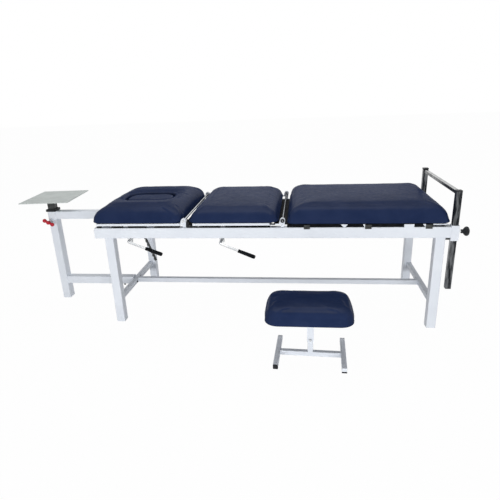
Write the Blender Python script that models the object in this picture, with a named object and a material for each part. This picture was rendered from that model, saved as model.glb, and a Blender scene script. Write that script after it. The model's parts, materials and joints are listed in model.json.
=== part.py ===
"""Traction table with hinged cushions, a machine stand, a pull-out bow and a leg stool.

Metres, +Z up. While the table is drawn, X runs along it from the left end of its rails,
Y is zero on its centre line and negative towards the front, and Z is zero on the floor.
The last step moves the whole table so that its bounding box stands centred on the origin.
"""

import math

import bmesh
import bpy
from mathutils import Matrix, Vector

X, Y, Z = range(3)
SIDES = {"front": -1, "rear": 1}

# Gaps and overlaps between pieces
FIT_GAP = 0.0003
PIN_GAP = 0.0003
UNION_OVERLAP = 0.002
CUT_OVERRUN = 0.004

# Numbers of flats on round surfaces
ROUND_SIDES = 24
SMALL_ROUND_SIDES = 16
SHARP_EDGE_DEGREES = 30

# Colour, roughness and metallic value of each finish
FINISHES = {
    "white_paint": ((0.84, 0.86, 0.89), 0.35, 0.0),
    "navy_vinyl": ((0.018, 0.033, 0.105), 0.42, 0.0),
    "black_plastic": ((0.02, 0.02, 0.022), 0.45, 0.0),
    "dark_chrome": ((0.2, 0.2, 0.21), 0.22, 1.0),
    "bright_chrome": ((0.7, 0.71, 0.73), 0.16, 1.0),
    "black_steel": ((0.05, 0.05, 0.055), 0.5, 0.6),
    "red_plastic": ((0.55, 0.02, 0.02), 0.4, 0.0),
    "plate_paint": ((0.62, 0.65, 0.62), 0.45, 0.0),
}

# Lengths of the three sections along the rails, and the gaps between them
HEAD_FRAME_START = 0.010
HEAD_FRAME_LENGTH = 0.480
HEAD_HINGE_REACH = 0.025
MID_FRAME_GAP = 0.050
MID_FRAME_LENGTH = 0.432
MID_HINGE_REACH = 0.061
CARRIAGE_GAP = 0.047
CARRIAGE_LENGTH = 0.800
RAIL_END_MARGIN = 0.021

# Rails and end tubes
FRAME_WIDTH = 0.690
RAIL_TOP = 0.588
RAIL_HEIGHT = 0.060
RAIL_DEPTH = 0.040
RAIL_WALL = 0.002

# Legs and the thin tubes that brace them
LEG_SIZE = 0.050
LEG_WALL = 0.002
LEFT_LEG_INSET = 0.0495
RIGHT_LEG_INSET = 0.024
BRACE_SIZE = 0.030
BRACE_WALL = 0.002
BRACE_UNDERSIDE = 0.115

# Head-end stand
STAND_ARM_REACH = 0.410
STAND_ARM_SIZE = 0.050
STAND_ARM_WALL = 0.002
STAND_LOWER_ARM_UNDERSIDE = 0.105
STAND_POST_LENGTH = 0.605
STAND_POST_WIDTH = 0.050
STAND_POST_DEPTH = 0.060
STAND_POST_WALL = 0.003
COLLAR_LIP = 0.005
COLLAR_THICKNESS = 0.0147
COLLAR_SKIRT_LENGTH = 0.025
COLUMN_WIDTH = 0.040
COLUMN_DEPTH = 0.050
COLUMN_WALL = 0.0025
COLUMN_LENGTH = 0.450
PLATE_UNDERSIDE = 0.690
PLATE_THICKNESS = 0.005
PLATE_LENGTH = 0.300
PLATE_DEPTH = 0.350
PLATE_OFFSET = (0.025, 0.010)
PLATE_TURN_DEGREES = 5.0

# Clamp screw of the stand
CLAMP_BELOW_POST_TOP = 0.058
CLAMP_BOSS_RADIUS = 0.012
CLAMP_BOSS_LENGTH = 0.015
CLAMP_STEM_RADIUS = 0.005
WING_STANDOFF = 0.050
WING_THICKNESS = 0.010
WING_HUB_RADIUS = 0.012
WING_HUB_LENGTH = 0.022
WING_WEB_WIDTH = 0.014
WING_LOBE_RADIUS = 0.0125
WING_LENGTH = 0.078
WING_DROP_DEGREES = 27.6

# Foot-end bow, its sleeves and its clamp knob
SLEEVE_SIZE = 0.040
SLEEVE_UNDERSIDE = 0.512
SLEEVE_HEIGHT = 0.082
BOW_POST_SIZE = 0.030
BOW_POST_WALL = 0.002
BOW_POST_LENGTHS = {"front": 0.535, "rear": 0.440}
BOW_TOP = 0.772
BOW_BAR_SIZE = 0.020
BOW_BAR_WALL = 0.002
KNOB_RADIUS = 0.025
KNOB_LENGTH = 0.034
KNOB_EDGE_RADIUS = 0.010
KNOB_EDGE_STEPS = 4
KNOB_STANDOFF = 0.020
KNOB_STEM_RADIUS = 0.006
KNOB_ABOVE_SLEEVE_UNDERSIDE = 0.047

# Hinges of the head and middle sections
HINGE_RISE = 0.039
HINGE_ROD_RADIUS = 0.006
HINGE_ROD_OVERHANG = 0.004
LUG_INSET = 0.010
LUG_THICKNESS = 0.008
LUG_RADIUS = 0.014
EAR_INSET = 0.001
EAR_THICKNESS = 0.005
EAR_ROOT = 0.030
EAR_RISE_START = 0.006
EAR_STRAP_HEIGHT = 0.007

# Black stops that the lowered sections rest on
STOP_HEIGHT = 0.0117
STOP_INSET = 0.002
STOP_DEPTH = 0.026
HEAD_STOP_OFFSET = 0.003
HEAD_STOP_LENGTH = 0.017
WEDGE_GAP = 0.002
WEDGE_LENGTH = 0.060
WEDGE_NECK_WIDTH = 0.010
WEDGE_TIP_HEIGHT = 0.048
WEDGE_TIP_WIDTH = 0.005
WEDGE_LEAN = 0.003
WEDGE_DEPTH = 0.012

# Steel frames under the head and middle cushions
SECTION_THICKNESS = 0.0127
SECTION_BAR_WIDTH = 0.025
SECTION_RIB_THICKNESS = 0.009

# Cushions
HEAD_CUSHION_HEIGHT = 0.096
MID_CUSHION_HEIGHT = 0.089
LEG_CUSHION_HEIGHT = 0.107
CUSHION_SIDE_OVERHANG = 0.005
CUSHION_CORNER_RADIUS = 0.050
LEG_CUSHION_CORNER_RADIUS = 0.038
CUSHION_EDGE_REACH = 0.068
CUSHION_EDGE_POWER = 2.05
CUSHION_UNDER_ROLL = 0.006
CUSHION_CROWN = 0.013
HEAD_CUSHION_OVERHANGS = (0.033, 0.015)
MID_CUSHION_OVERHANGS = (0.031, 0.043)
LEG_CUSHION_OVERHANGS = (0.029, 0.023)
CORNER_STEPS = 6
EDGE_STEPS = 4
ROLL_STEPS = 8
CROWN_RING_SHARES = (0.8, 0.55, 0.3, 0.1)

# Face opening of the head cushion and the insert that fills it
FACE_SLOT_LENGTH = 0.300
FACE_SLOT_WIDTH = 0.200
FACE_SLOT_CORNER = 0.075
FACE_SLOT_OFFSET = -0.015
FACE_SLOT_LIP = 0.010
FACE_SLOT_DIP = 0.017
LIP_STEPS = 3
FACE_RING_SHARES = (0.35, 0.7)
FACE_RISE_SHARES = (0.9, 0.55)
PLUG_GAP = 0.0008
PLUG_EDGE_REACH = 0.014
PLUG_UNDER_ROLL = 0.002
PLUG_CROWN = 0.003
PLUG_RECESS = 0.019

# Notched bars that hold the raised sections
STAY_THICKNESS = 0.004
STAY_WIDTH = 0.016
STAY_PIN_RADIUS = 0.004
STAY_LUG_THICKNESS = 0.005
STAY_LUG_RADIUS = 0.011
STAY_SIDE_GAP = 0.003
STAY_SHAFT_GAP = 0.003
STAY_NOTCH_DEPTH = 0.006
STAY_NOTCH_PITCH = 0.024
HEAD_STAY_LENGTH = 0.280
HEAD_STAY_PIVOT_OFFSET = 0.171
HEAD_STAY_PIVOT_DROP = 0.005
HEAD_STAY_INSET = 0.168
HEAD_STAY_FIRST_NOTCH = 0.085
HEAD_STAY_NOTCHES = 8
MID_STAY_LENGTH = 0.390
MID_STAY_PIVOT_OFFSET = 0.360
MID_STAY_PIVOT_DROP = 0.030
MID_STAY_INSET = 0.198
MID_STAY_FIRST_NOTCH = 0.200
MID_STAY_NOTCHES = 7

# Release levers under the front rail
LEVER_ROD_RADIUS = 0.006
LEVER_BELOW_RAIL = 0.014
LEVER_STANDOFFS = {"head": 0.020, "mid": 0.050}
LEVER_BEND_RADIUS = 0.014
LEVER_BEND_STEPS = 5
LEVER_REACH = 0.206
LEVER_PAST_STAY = 0.003
GRIP_RADIUS = 0.011
GRIP_LENGTH = 0.100
GRIP_BORE_DEPTH = 0.070
HEAD_LEVER_PIVOT_OFFSET = 0.011
HEAD_LEVER_DROP_DEGREES = 21.4
MID_LEVER_PIVOT_OFFSET = -0.205
MID_LEVER_DROP_DEGREES = 22.3
BUSH_INSET = 0.010
BUSH_LENGTH = 0.020
BUSH_WIDTH = 0.024
BUSH_WALL_BELOW = 0.007

# Rolling frame of the leg section
CARRIAGE_CLEARANCE = 0.002
CARRIAGE_THICKNESS = 0.015
CARRIAGE_SIDE_GAP = 0.005
CARRIAGE_BAR_WIDTH = 0.025
ROLLER_RADIUS = 0.008
ROLLER_WIDTH = 0.024
ROLLER_INSET = 0.006
ROLLER_PLACE_SHARES = (0.1025, 0.5025, 0.886)
AXLE_RADIUS = 0.003
GUIDE_STANDOFF = 0.0015
GUIDE_THICKNESS = 0.003
GUIDE_WIDTH = 0.033
GUIDE_DROP = 0.008
GUIDE_BELOW_TOP = 0.002

# Leg stool in front of the table
STOOL_PLACE = 1.2046
STOOL_DISTANCE = 0.3064
STOOL_TURN_DEGREES = -2.4
STOOL_SEAT_SHIFT = -0.0095
STOOL_SEAT_LENGTH = 0.430
STOOL_SEAT_DEPTH = 0.293
STOOL_SEAT_UNDERSIDE = 0.238
STOOL_SEAT_HEIGHT = 0.088
STOOL_EDGE_REACH = 0.026
STOOL_CORNER_RADIUS = 0.062
STOOL_TUBE_SIZE = 0.025
STOOL_TUBE_WALL = 0.002
STOOL_FOOT_LENGTH = 0.276
STOOL_BASE_LENGTH = 0.356
STOOL_POST_SIZE = 0.027
STOOL_POST_TOP = 0.200
STOOL_SLEEVE_SIZE = 0.033
STOOL_SLEEVE_UNDERSIDE = 0.086
STOOL_PIN_RADIUS = 0.004
STOOL_PIN_FIRST_HEIGHT = 0.053
STOOL_PIN_PITCH = 0.045
STOOL_PIN_HOLES = 3

# Places that follow from the sizes above
HEAD_FRAME_END = HEAD_FRAME_START + HEAD_FRAME_LENGTH
HEAD_HINGE = HEAD_FRAME_END + HEAD_HINGE_REACH
MID_FRAME_START = HEAD_HINGE + MID_FRAME_GAP
MID_FRAME_END = MID_FRAME_START + MID_FRAME_LENGTH
MID_HINGE = MID_FRAME_END + MID_HINGE_REACH
CARRIAGE_START = MID_HINGE + CARRIAGE_GAP
CARRIAGE_END = CARRIAGE_START + CARRIAGE_LENGTH
FRAME_LENGTH = CARRIAGE_END + RAIL_END_MARGIN
HALF_WIDTH = FRAME_WIDTH / 2
RAIL_UNDERSIDE = RAIL_TOP - RAIL_HEIGHT
STOP_SEAT = RAIL_TOP + FIT_GAP + STOP_HEIGHT
SECTION_UNDERSIDE = STOP_SEAT + FIT_GAP
SECTION_TOP = SECTION_UNDERSIDE + SECTION_THICKNESS
CUSHION_UNDERSIDE = SECTION_TOP + FIT_GAP
CARRIAGE_TOP = RAIL_TOP + CARRIAGE_CLEARANCE + CARRIAGE_THICKNESS
HINGE_HEIGHT = RAIL_TOP + HINGE_RISE
LEVER_HEIGHT = RAIL_UNDERSIDE - LEVER_BELOW_RAIL
POST_CENTRE = -STAND_ARM_REACH - STAND_POST_WIDTH / 2
CLAMP_HEIGHT = STAND_POST_LENGTH - CLAMP_BELOW_POST_TOP
BOW_CENTRE = FRAME_LENGTH + FIT_GAP + SLEEVE_SIZE / 2
ROLLER_HEIGHT = RAIL_TOP + PIN_GAP + ROLLER_RADIUS


# Outlines and spans


def span(start, length):
    """The two ends of a length that starts at a place."""
    return (start, start + length)


def centred(middle, length):
    """The two ends of a length that lies evenly about a place."""
    return (middle - length / 2, middle + length / 2)


def side_span(side, inset, depth):
    """The Y span of a piece whose outer face lies an inset inside the rail's outer face."""
    outer = side * (HALF_WIDTH - inset)
    return tuple(sorted((outer, outer - side * depth)))


def rectangle(first, second):
    """Corners of the rectangle that fills two spans."""
    (low_a, high_a), (low_b, high_b) = first, second
    return [(low_a, low_b), (high_a, low_b), (high_a, high_b), (low_a, high_b)]


def shrunk(bounds, margin):
    """A span with a margin taken off each end."""
    low, high = bounds
    return (low + margin, high - margin)


def arc(centre, radius, start_degrees, end_degrees, steps):
    """Points along an arc, both ends included."""
    angles = [math.radians(start_degrees + (end_degrees - start_degrees) * step / steps)
              for step in range(steps + 1)]
    return [(centre[0] + radius * math.cos(angle), centre[1] + radius * math.sin(angle))
            for angle in angles]


def circle(centre, radius, sides=ROUND_SIDES):
    """Points around a circle."""
    return arc(centre, radius, 0, 360, sides)[:-1]


def turned(points, degrees, centre=(0, 0)):
    """Points of a flat outline, turned about a centre."""
    cosine, sine = math.cos(math.radians(degrees)), math.sin(math.radians(degrees))
    result = []
    for first, second in points:
        across, up = first - centre[0], second - centre[1]
        result.append((centre[0] + across * cosine - up * sine,
                       centre[1] + across * sine + up * cosine))
    return result


def rounded_rectangle(first, second, radius):
    """Points around a rectangle with round corners, with steps along its straight edges."""
    corners = rectangle(shrunk(first, radius), shrunk(second, radius))
    starts = (180, 270, 0, 90)
    points = []
    for index, (corner, start) in enumerate(zip(corners, starts)):
        bend = arc(corner, radius, start, start + 90, CORNER_STEPS)
        following = corners[(index + 1) % len(corners)]
        next_start = arc(following, radius, starts[(index + 1) % len(starts)], 0, 1)[0]
        points.extend(bend)
        for step in range(1, EDGE_STEPS):
            share = step / EDGE_STEPS
            points.append(tuple(a + (b - a) * share for a, b in zip(bend[-1], next_start)))
    return points


# Meshes


def placed(point, axis, depth):
    """A point of a cross-section, put at a depth along its axis."""
    first, second = point
    if axis == X:
        return (depth, first, second)
    if axis == Y:
        return (first, depth, second)
    return (first, second, depth)


def add_band(bm, lower, upper):
    """Faces between two rings of as many vertices."""
    count = len(lower)
    for index in range(count):
        following = (index + 1) % count
        bm.faces.new((lower[index], lower[following], upper[following], upper[index]))


def prism(outline, axis, bounds, hole=None):
    """A solid with one cross-section along its axis, with a hole of as many points or none."""
    bm = bmesh.new()
    outer = [[bm.verts.new(placed(point, axis, depth)) for point in outline] for depth in bounds]
    add_band(bm, *outer)
    if hole:
        inner = [[bm.verts.new(placed(point, axis, depth)) for point in hole] for depth in bounds]
        add_band(bm, *inner)
        for outer_ring, inner_ring in zip(outer, inner):
            add_band(bm, outer_ring, inner_ring)
    else:
        for ring in outer:
            bm.faces.new(ring)
    bmesh.ops.recalc_face_normals(bm, faces=bm.faces)
    return bm


def box(x_span, y_span, z_span):
    """A plain block that fills three spans."""
    return prism(rectangle(x_span, y_span), Z, z_span)


def square_tube(axis, bounds, first, second, wall):
    """A square or oblong tube, open at both ends."""
    hole = rectangle(shrunk(first, wall), shrunk(second, wall))
    return prism(rectangle(first, second), axis, bounds, hole)


def closed_foot_tube(z_span, x_span, y_span, wall):
    """An upright tube with a floor as thick as its wall and an open top."""
    low, high = z_span
    rings = [(low, x_span, y_span), (high, x_span, y_span),
             (high, shrunk(x_span, wall), shrunk(y_span, wall)),
             (low + wall, shrunk(x_span, wall), shrunk(y_span, wall))]
    return lofted([[(x, y, z) for x, y in rectangle(xs, ys)] for z, xs, ys in rings])


def lofted(rings, closed=False):
    """A solid through rings of as many points, capped at both ends or closed on itself."""
    bm = bmesh.new()
    loops = [[bm.verts.new(point) for point in ring] for ring in rings]
    for lower, upper in zip(loops, loops[1:]):
        add_band(bm, lower, upper)
    if closed:
        add_band(bm, loops[-1], loops[0])
    else:
        bm.faces.new(loops[0])
        bm.faces.new(loops[-1])
    bmesh.ops.recalc_face_normals(bm, faces=bm.faces)
    return bm


def round_bar(start, end, radius, sides=ROUND_SIDES):
    """A cylinder between two points."""
    start, end = Vector(start), Vector(end)
    direction = end - start
    place = Matrix.Translation((start + end) / 2) @ direction.to_track_quat("Z", "Y").to_matrix().to_4x4()
    bm = bmesh.new()
    bmesh.ops.create_cone(bm, cap_ends=True, segments=sides, radius1=radius, radius2=radius,
                          depth=direction.length, matrix=place)
    return bm


# Objects


def finish_material(name):
    """The material of a finish, made once."""
    found = bpy.data.materials.get(name)
    if found:
        return found
    colour, roughness, metallic = FINISHES[name]
    made = bpy.data.materials.new(name)
    made.use_nodes = True
    shader = made.node_tree.nodes["Principled BSDF"]
    shader.inputs["Base Color"].default_value = (*colour, 1)
    shader.inputs["Roughness"].default_value = roughness
    shader.inputs["Metallic"].default_value = metallic
    return made


def table_root():
    """The empty that carries every piece."""
    found = bpy.data.objects.get("traction_table")
    if found:
        return found
    root = bpy.data.objects.new("traction_table", None)
    bpy.context.scene.collection.objects.link(root)
    return root


def piece(name, bm, finish, pivot=(0, 0, 0)):
    """A named object from a mesh drawn in place, with its origin on its pivot."""
    bmesh.ops.translate(bm, verts=bm.verts, vec=-Vector(pivot))
    mesh = bpy.data.meshes.new(name)
    bm.to_mesh(mesh)
    bm.free()
    mesh.materials.append(finish_material(finish))
    obj = bpy.data.objects.new(name, mesh)
    obj.location = pivot
    obj.parent = table_root()
    bpy.context.scene.collection.objects.link(obj)
    smooth(mesh)
    return obj


def smooth(mesh):
    """Shade round surfaces smooth and keep real edges sharp."""
    mesh.shade_smooth()
    mesh.set_sharp_from_angle(angle=math.radians(SHARP_EDGE_DEGREES))


def combine(obj, bm, operation):
    """Join a mesh to an object, or cut it away, and leave one plain mesh."""
    tool = piece(obj.name + "_tool", bm, obj.data.materials[0].name)
    tool.hide_render = True
    tool.display_type = "WIRE"
    modifier = obj.modifiers.new("Combine", "BOOLEAN")
    modifier.operation = operation
    modifier.solver = "EXACT"
    modifier.object = tool
    bpy.context.view_layer.update()
    depsgraph = bpy.context.evaluated_depsgraph_get()
    result = bpy.data.meshes.new_from_object(obj.evaluated_get(depsgraph))
    obj.modifiers.clear()
    obj.data = result
    smooth(result)
    bpy.data.objects.remove(tool)


def join(obj, *meshes):
    """Weld meshes to an object."""
    for bm in meshes:
        combine(obj, bm, "UNION")


def cut(obj, *meshes):
    """Cut meshes out of an object."""
    for bm in meshes:
        combine(obj, bm, "DIFFERENCE")


def bent_rod(name, points, radius, finish, pivot):
    """A round rod along points, as a curve with closed ends."""
    curve = bpy.data.curves.new(name, "CURVE")
    curve.dimensions = "3D"
    curve.bevel_depth = radius
    curve.bevel_resolution = 4
    curve.use_fill_caps = True
    spline = curve.splines.new("POLY")
    spline.points.add(len(points) - 1)
    for target, point in zip(spline.points, points):
        target.co = (*(Vector(point) - Vector(pivot)), 1)
    curve.materials.append(finish_material(finish))
    obj = bpy.data.objects.new(name, curve)
    obj.location = pivot
    obj.parent = table_root()
    bpy.context.scene.collection.objects.link(obj)
    return obj


# Frame


def build_rails():
    """The two long rails and the tubes that close their ends."""
    z_span = span(RAIL_UNDERSIDE, RAIL_HEIGHT)
    for label, side in SIDES.items():
        mesh = square_tube(X, (0, FRAME_LENGTH), side_span(side, 0, RAIL_DEPTH), z_span, RAIL_WALL)
        piece(label + "_rail", mesh, "white_paint")
    between = shrunk((-HALF_WIDTH, HALF_WIDTH), RAIL_DEPTH + FIT_GAP)
    for label, start in (("left", 0), ("right", FRAME_LENGTH - RAIL_DEPTH)):
        mesh = square_tube(Y, between, span(start, RAIL_DEPTH), z_span, RAIL_WALL)
        piece(label + "_end_tube", mesh, "white_paint")


def leg_span(label):
    """The X span of the left or right legs."""
    if label == "left":
        return span(LEFT_LEG_INSET, LEG_SIZE)
    return span(FRAME_LENGTH - RIGHT_LEG_INSET - LEG_SIZE, LEG_SIZE)


def crossbar_span(label):
    """The X span of a crossbar, flush with the outer end face of its legs."""
    low, high = leg_span(label)
    if label == "left":
        return span(low, BRACE_SIZE)
    return span(high - BRACE_SIZE, BRACE_SIZE)


def build_legs():
    """The four legs and the low braces between them."""
    leg_height = (0, RAIL_UNDERSIDE - FIT_GAP)
    brace_height = span(BRACE_UNDERSIDE, BRACE_SIZE)
    between = shrunk((-HALF_WIDTH, HALF_WIDTH), LEG_SIZE + FIT_GAP)
    for end in ("left", "right"):
        for label, side in SIDES.items():
            mesh = closed_foot_tube(leg_height, leg_span(end), side_span(side, 0, LEG_SIZE), LEG_WALL)
            piece(f"{label}_{end}_leg", mesh, "white_paint")
        mesh = square_tube(Y, between, crossbar_span(end), brace_height, BRACE_WALL)
        piece(end + "_crossbar", mesh, "white_paint")
    stretcher = (crossbar_span("left")[1] + FIT_GAP, crossbar_span("right")[0] - FIT_GAP)
    mesh = square_tube(X, stretcher, centred(0, BRACE_SIZE), brace_height, BRACE_WALL)
    piece("stretcher", mesh, "white_paint")


# Head-end stand


def post_outline(growth=0):
    """X and Y spans of the stand's post, made larger by a growth on each side."""
    return (centred(POST_CENTRE, STAND_POST_WIDTH + 2 * growth),
            centred(0, STAND_POST_DEPTH + 2 * growth))


def column_outline(growth=0):
    """X and Y spans of the stand's column, made larger by a growth on each side."""
    return (centred(POST_CENTRE, COLUMN_WIDTH + 2 * growth),
            centred(0, COLUMN_DEPTH + 2 * growth))


def build_stand_frame():
    """The post with its clamp boss, the two arms that carry it and the collar in its top."""
    post = piece("stand_post", closed_foot_tube((0, STAND_POST_LENGTH), *post_outline(), STAND_POST_WALL),
                 "white_paint")
    face = -STAND_POST_DEPTH / 2
    centre = (POST_CENTRE, CLAMP_HEIGHT)
    join(post, prism(circle(centre, CLAMP_BOSS_RADIUS), Y, (face - CLAMP_BOSS_LENGTH, face + UNION_OVERLAP)))
    bore = (face - CLAMP_BOSS_LENGTH - CUT_OVERRUN, face + STAND_POST_WALL + CUT_OVERRUN)
    cut(post, prism(circle(centre, CLAMP_STEM_RADIUS + PIN_GAP), Y, bore))

    arm_width = centred(0, STAND_ARM_SIZE)
    upper = span(STAND_POST_LENGTH - STAND_ARM_SIZE, STAND_ARM_SIZE)
    lower = span(STAND_LOWER_ARM_UNDERSIDE, STAND_ARM_SIZE)
    start = -STAND_ARM_REACH + FIT_GAP
    for label, end, z_span in (("upper", 0, upper), ("lower", crossbar_span("left")[0], lower)):
        mesh = square_tube(X, (start, end - FIT_GAP), arm_width, z_span, STAND_ARM_WALL)
        piece(f"stand_{label}_arm", mesh, "white_paint")

    flange_height = span(STAND_POST_LENGTH + FIT_GAP, COLLAR_THICKNESS)
    bore = rectangle(*column_outline(PIN_GAP))
    flange = prism(rectangle(*post_outline(COLLAR_LIP)), Z, flange_height, bore)
    collar = piece("stand_collar", flange, "black_plastic")
    skirt_outline = rectangle(*post_outline(-STAND_POST_WALL - FIT_GAP))
    skirt_height = (STAND_POST_LENGTH - COLLAR_SKIRT_LENGTH, flange_height[0] + UNION_OVERLAP)
    join(collar, prism(skirt_outline, Z, skirt_height, bore))


def build_stand_column():
    """The column that slides in the post, and the plate on top of it."""
    top = PLATE_UNDERSIDE - FIT_GAP
    mesh = square_tube(Z, (top - COLUMN_LENGTH, top), *column_outline(), COLUMN_WALL)
    piece("stand_column", mesh, "black_steel")
    centre = (POST_CENTRE + PLATE_OFFSET[0], PLATE_OFFSET[1])
    outline = rectangle(centred(centre[0], PLATE_LENGTH), centred(centre[1], PLATE_DEPTH))
    outline = turned(outline, PLATE_TURN_DEGREES, centre)
    piece("machine_plate", prism(outline, Z, span(PLATE_UNDERSIDE, PLATE_THICKNESS)), "plate_paint")


def build_clamp_wing():
    """The clamp screw with its red wing, turned as it stands."""
    axis = (POST_CENTRE, CLAMP_HEIGHT)
    face = -STAND_POST_DEPTH / 2
    wing_middle = face - WING_STANDOFF
    wing_depth = centred(wing_middle, WING_THICKNESS)
    hub = prism(circle(axis, WING_HUB_RADIUS), Y, centred(wing_middle, WING_HUB_LENGTH))
    wing = piece("clamp_wing", hub, "red_plastic", (axis[0], wing_middle, axis[1]))
    lobe_offset = WING_LENGTH / 2 - WING_LOBE_RADIUS
    lobes = [(axis[0] + sign * lobe_offset, axis[1]) for sign in (-1, 1)]
    web = rectangle((lobes[0][0], lobes[1][0]), centred(axis[1], WING_WEB_WIDTH))
    join(wing, prism(turned(web, -WING_DROP_DEGREES, axis), Y, shrunk(wing_depth, UNION_OVERLAP / 2)))
    for lobe in turned(lobes, -WING_DROP_DEGREES, axis):
        join(wing, prism(circle(lobe, WING_LOBE_RADIUS), Y, wing_depth))
    stem = (wing_middle, -COLUMN_DEPTH / 2 - PIN_GAP)
    join(wing, prism(circle(axis, CLAMP_STEM_RADIUS), Y, stem))


# Foot-end bow


def bow_post_centre(side):
    """Y place of a bow post and its sleeve, on the middle of the rail."""
    return side * (HALF_WIDTH - RAIL_DEPTH / 2)


def build_sleeves():
    """The sleeves on the rail ends that hold the bow; the front one takes the knob's stem."""
    z_span = span(SLEEVE_UNDERSIDE, SLEEVE_HEIGHT)
    wall = (SLEEVE_SIZE - BOW_POST_SIZE) / 2 - PIN_GAP
    for label, side in SIDES.items():
        y_span = centred(bow_post_centre(side), SLEEVE_SIZE)
        mesh = square_tube(Z, z_span, centred(BOW_CENTRE, SLEEVE_SIZE), y_span, wall)
        sleeve = piece(label + "_sleeve", mesh, "white_paint")
        if label == "front":
            hole = circle((bow_post_centre(side), SLEEVE_UNDERSIDE + KNOB_ABOVE_SLEEVE_UNDERSIDE),
                          KNOB_STEM_RADIUS + PIN_GAP)
            outer_face = BOW_CENTRE + SLEEVE_SIZE / 2
            cut(sleeve, prism(hole, X, (outer_face - wall - CUT_OVERRUN, outer_face + CUT_OVERRUN)))


def build_bow():
    """The pull-out bow: two posts and the bar across their tops."""
    for label, side in SIDES.items():
        y_span = centred(bow_post_centre(side), BOW_POST_SIZE)
        mesh = square_tube(Z, (BOW_TOP - BOW_POST_LENGTHS[label], BOW_TOP), centred(BOW_CENTRE, BOW_POST_SIZE),
                           y_span, BOW_POST_WALL)
        piece(f"bow_{label}_post", mesh, "dark_chrome")
    inner_face = bow_post_centre(1) - BOW_POST_SIZE / 2 - FIT_GAP
    mesh = square_tube(Y, (-inner_face, inner_face), centred(BOW_CENTRE, BOW_BAR_SIZE),
                       span(BOW_TOP - BOW_BAR_SIZE, BOW_BAR_SIZE), BOW_BAR_WALL)
    piece("bow_crossbar", mesh, "dark_chrome")


def build_bow_knob():
    """The clamp knob, whose stem passes through the front sleeve's wall to the post."""
    axis = (bow_post_centre(SIDES["front"]), SLEEVE_UNDERSIDE + KNOB_ABOVE_SLEEVE_UNDERSIDE)
    knob_start = BOW_CENTRE + SLEEVE_SIZE / 2 + KNOB_STANDOFF
    profile = arc((KNOB_EDGE_RADIUS, KNOB_RADIUS - KNOB_EDGE_RADIUS), KNOB_EDGE_RADIUS, 180, 90,
                  KNOB_EDGE_STEPS)
    profile += arc((KNOB_LENGTH - KNOB_EDGE_RADIUS, KNOB_RADIUS - KNOB_EDGE_RADIUS), KNOB_EDGE_RADIUS,
                   90, 0, KNOB_EDGE_STEPS)
    rings = [[(knob_start + along, *point) for point in circle(axis, radius)]
             for along, radius in profile]
    knob = piece("bow_knob", lofted(rings), "black_plastic", (knob_start, *axis))
    stem_start = BOW_CENTRE + BOW_POST_SIZE / 2 + PIN_GAP
    join(knob, prism(circle(axis, KNOB_STEM_RADIUS), X, (stem_start, knob_start + UNION_OVERLAP)))


# Hinges and stops


def build_lugs():
    """The plates on the rails in which the hinge rods turn."""
    for section, place in (("head", HEAD_HINGE), ("mid", MID_HINGE)):
        centre = (place, HINGE_HEIGHT)
        foot = RAIL_TOP + FIT_GAP
        outline = [(place - LUG_RADIUS, foot), (place + LUG_RADIUS, foot)]
        outline += arc(centre, LUG_RADIUS, 0, 180, SMALL_ROUND_SIDES)
        for label, side in SIDES.items():
            y_span = side_span(side, LUG_INSET, LUG_THICKNESS)
            lug = piece(f"{section}_hinge_lug_{label}", prism(outline, Y, y_span), "white_paint")
            hole = circle(centre, HINGE_ROD_RADIUS + PIN_GAP)
            cut(lug, prism(hole, Y, shrunk(y_span, -CUT_OVERRUN)))


def wedge_outline():
    """Side outline of a middle stop: a seat with a leaning tip that guides the section down."""
    start = HEAD_HINGE + LUG_RADIUS + WEDGE_GAP
    foot = RAIL_TOP + FIT_GAP
    tip = start + WEDGE_LEAN
    return [(start, foot), (start + WEDGE_LENGTH, foot), (start + WEDGE_LENGTH, STOP_SEAT),
            (start + WEDGE_NECK_WIDTH, STOP_SEAT), (tip + WEDGE_TIP_WIDTH, foot + WEDGE_TIP_HEIGHT),
            (tip, foot + WEDGE_TIP_HEIGHT)]


def build_stops():
    """The black blocks on the rails that the lowered sections rest on."""
    head = rectangle(span(HEAD_FRAME_START + HEAD_STOP_OFFSET, HEAD_STOP_LENGTH),
                     (RAIL_TOP + FIT_GAP, STOP_SEAT))
    for label, side in SIDES.items():
        piece("head_stop_" + label, prism(head, Y, side_span(side, STOP_INSET, STOP_DEPTH)),
              "black_plastic")
        piece("mid_stop_" + label, prism(wedge_outline(), Y, side_span(side, STOP_INSET, WEDGE_DEPTH)),
              "black_plastic")


def ear_outline(frame_end, hinge):
    """Side outline of the plate that carries a section's frame on its hinge rod."""
    root = frame_end - EAR_ROOT
    low, high = span(SECTION_UNDERSIDE + UNION_OVERLAP, EAR_STRAP_HEIGHT)
    return [(root, low), (hinge - LUG_RADIUS / 2, low),
            *arc((hinge, HINGE_HEIGHT), LUG_RADIUS, -60, 150, SMALL_ROUND_SIDES),
            (hinge - LUG_RADIUS - EAR_RISE_START, high), (root, high)]


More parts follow.
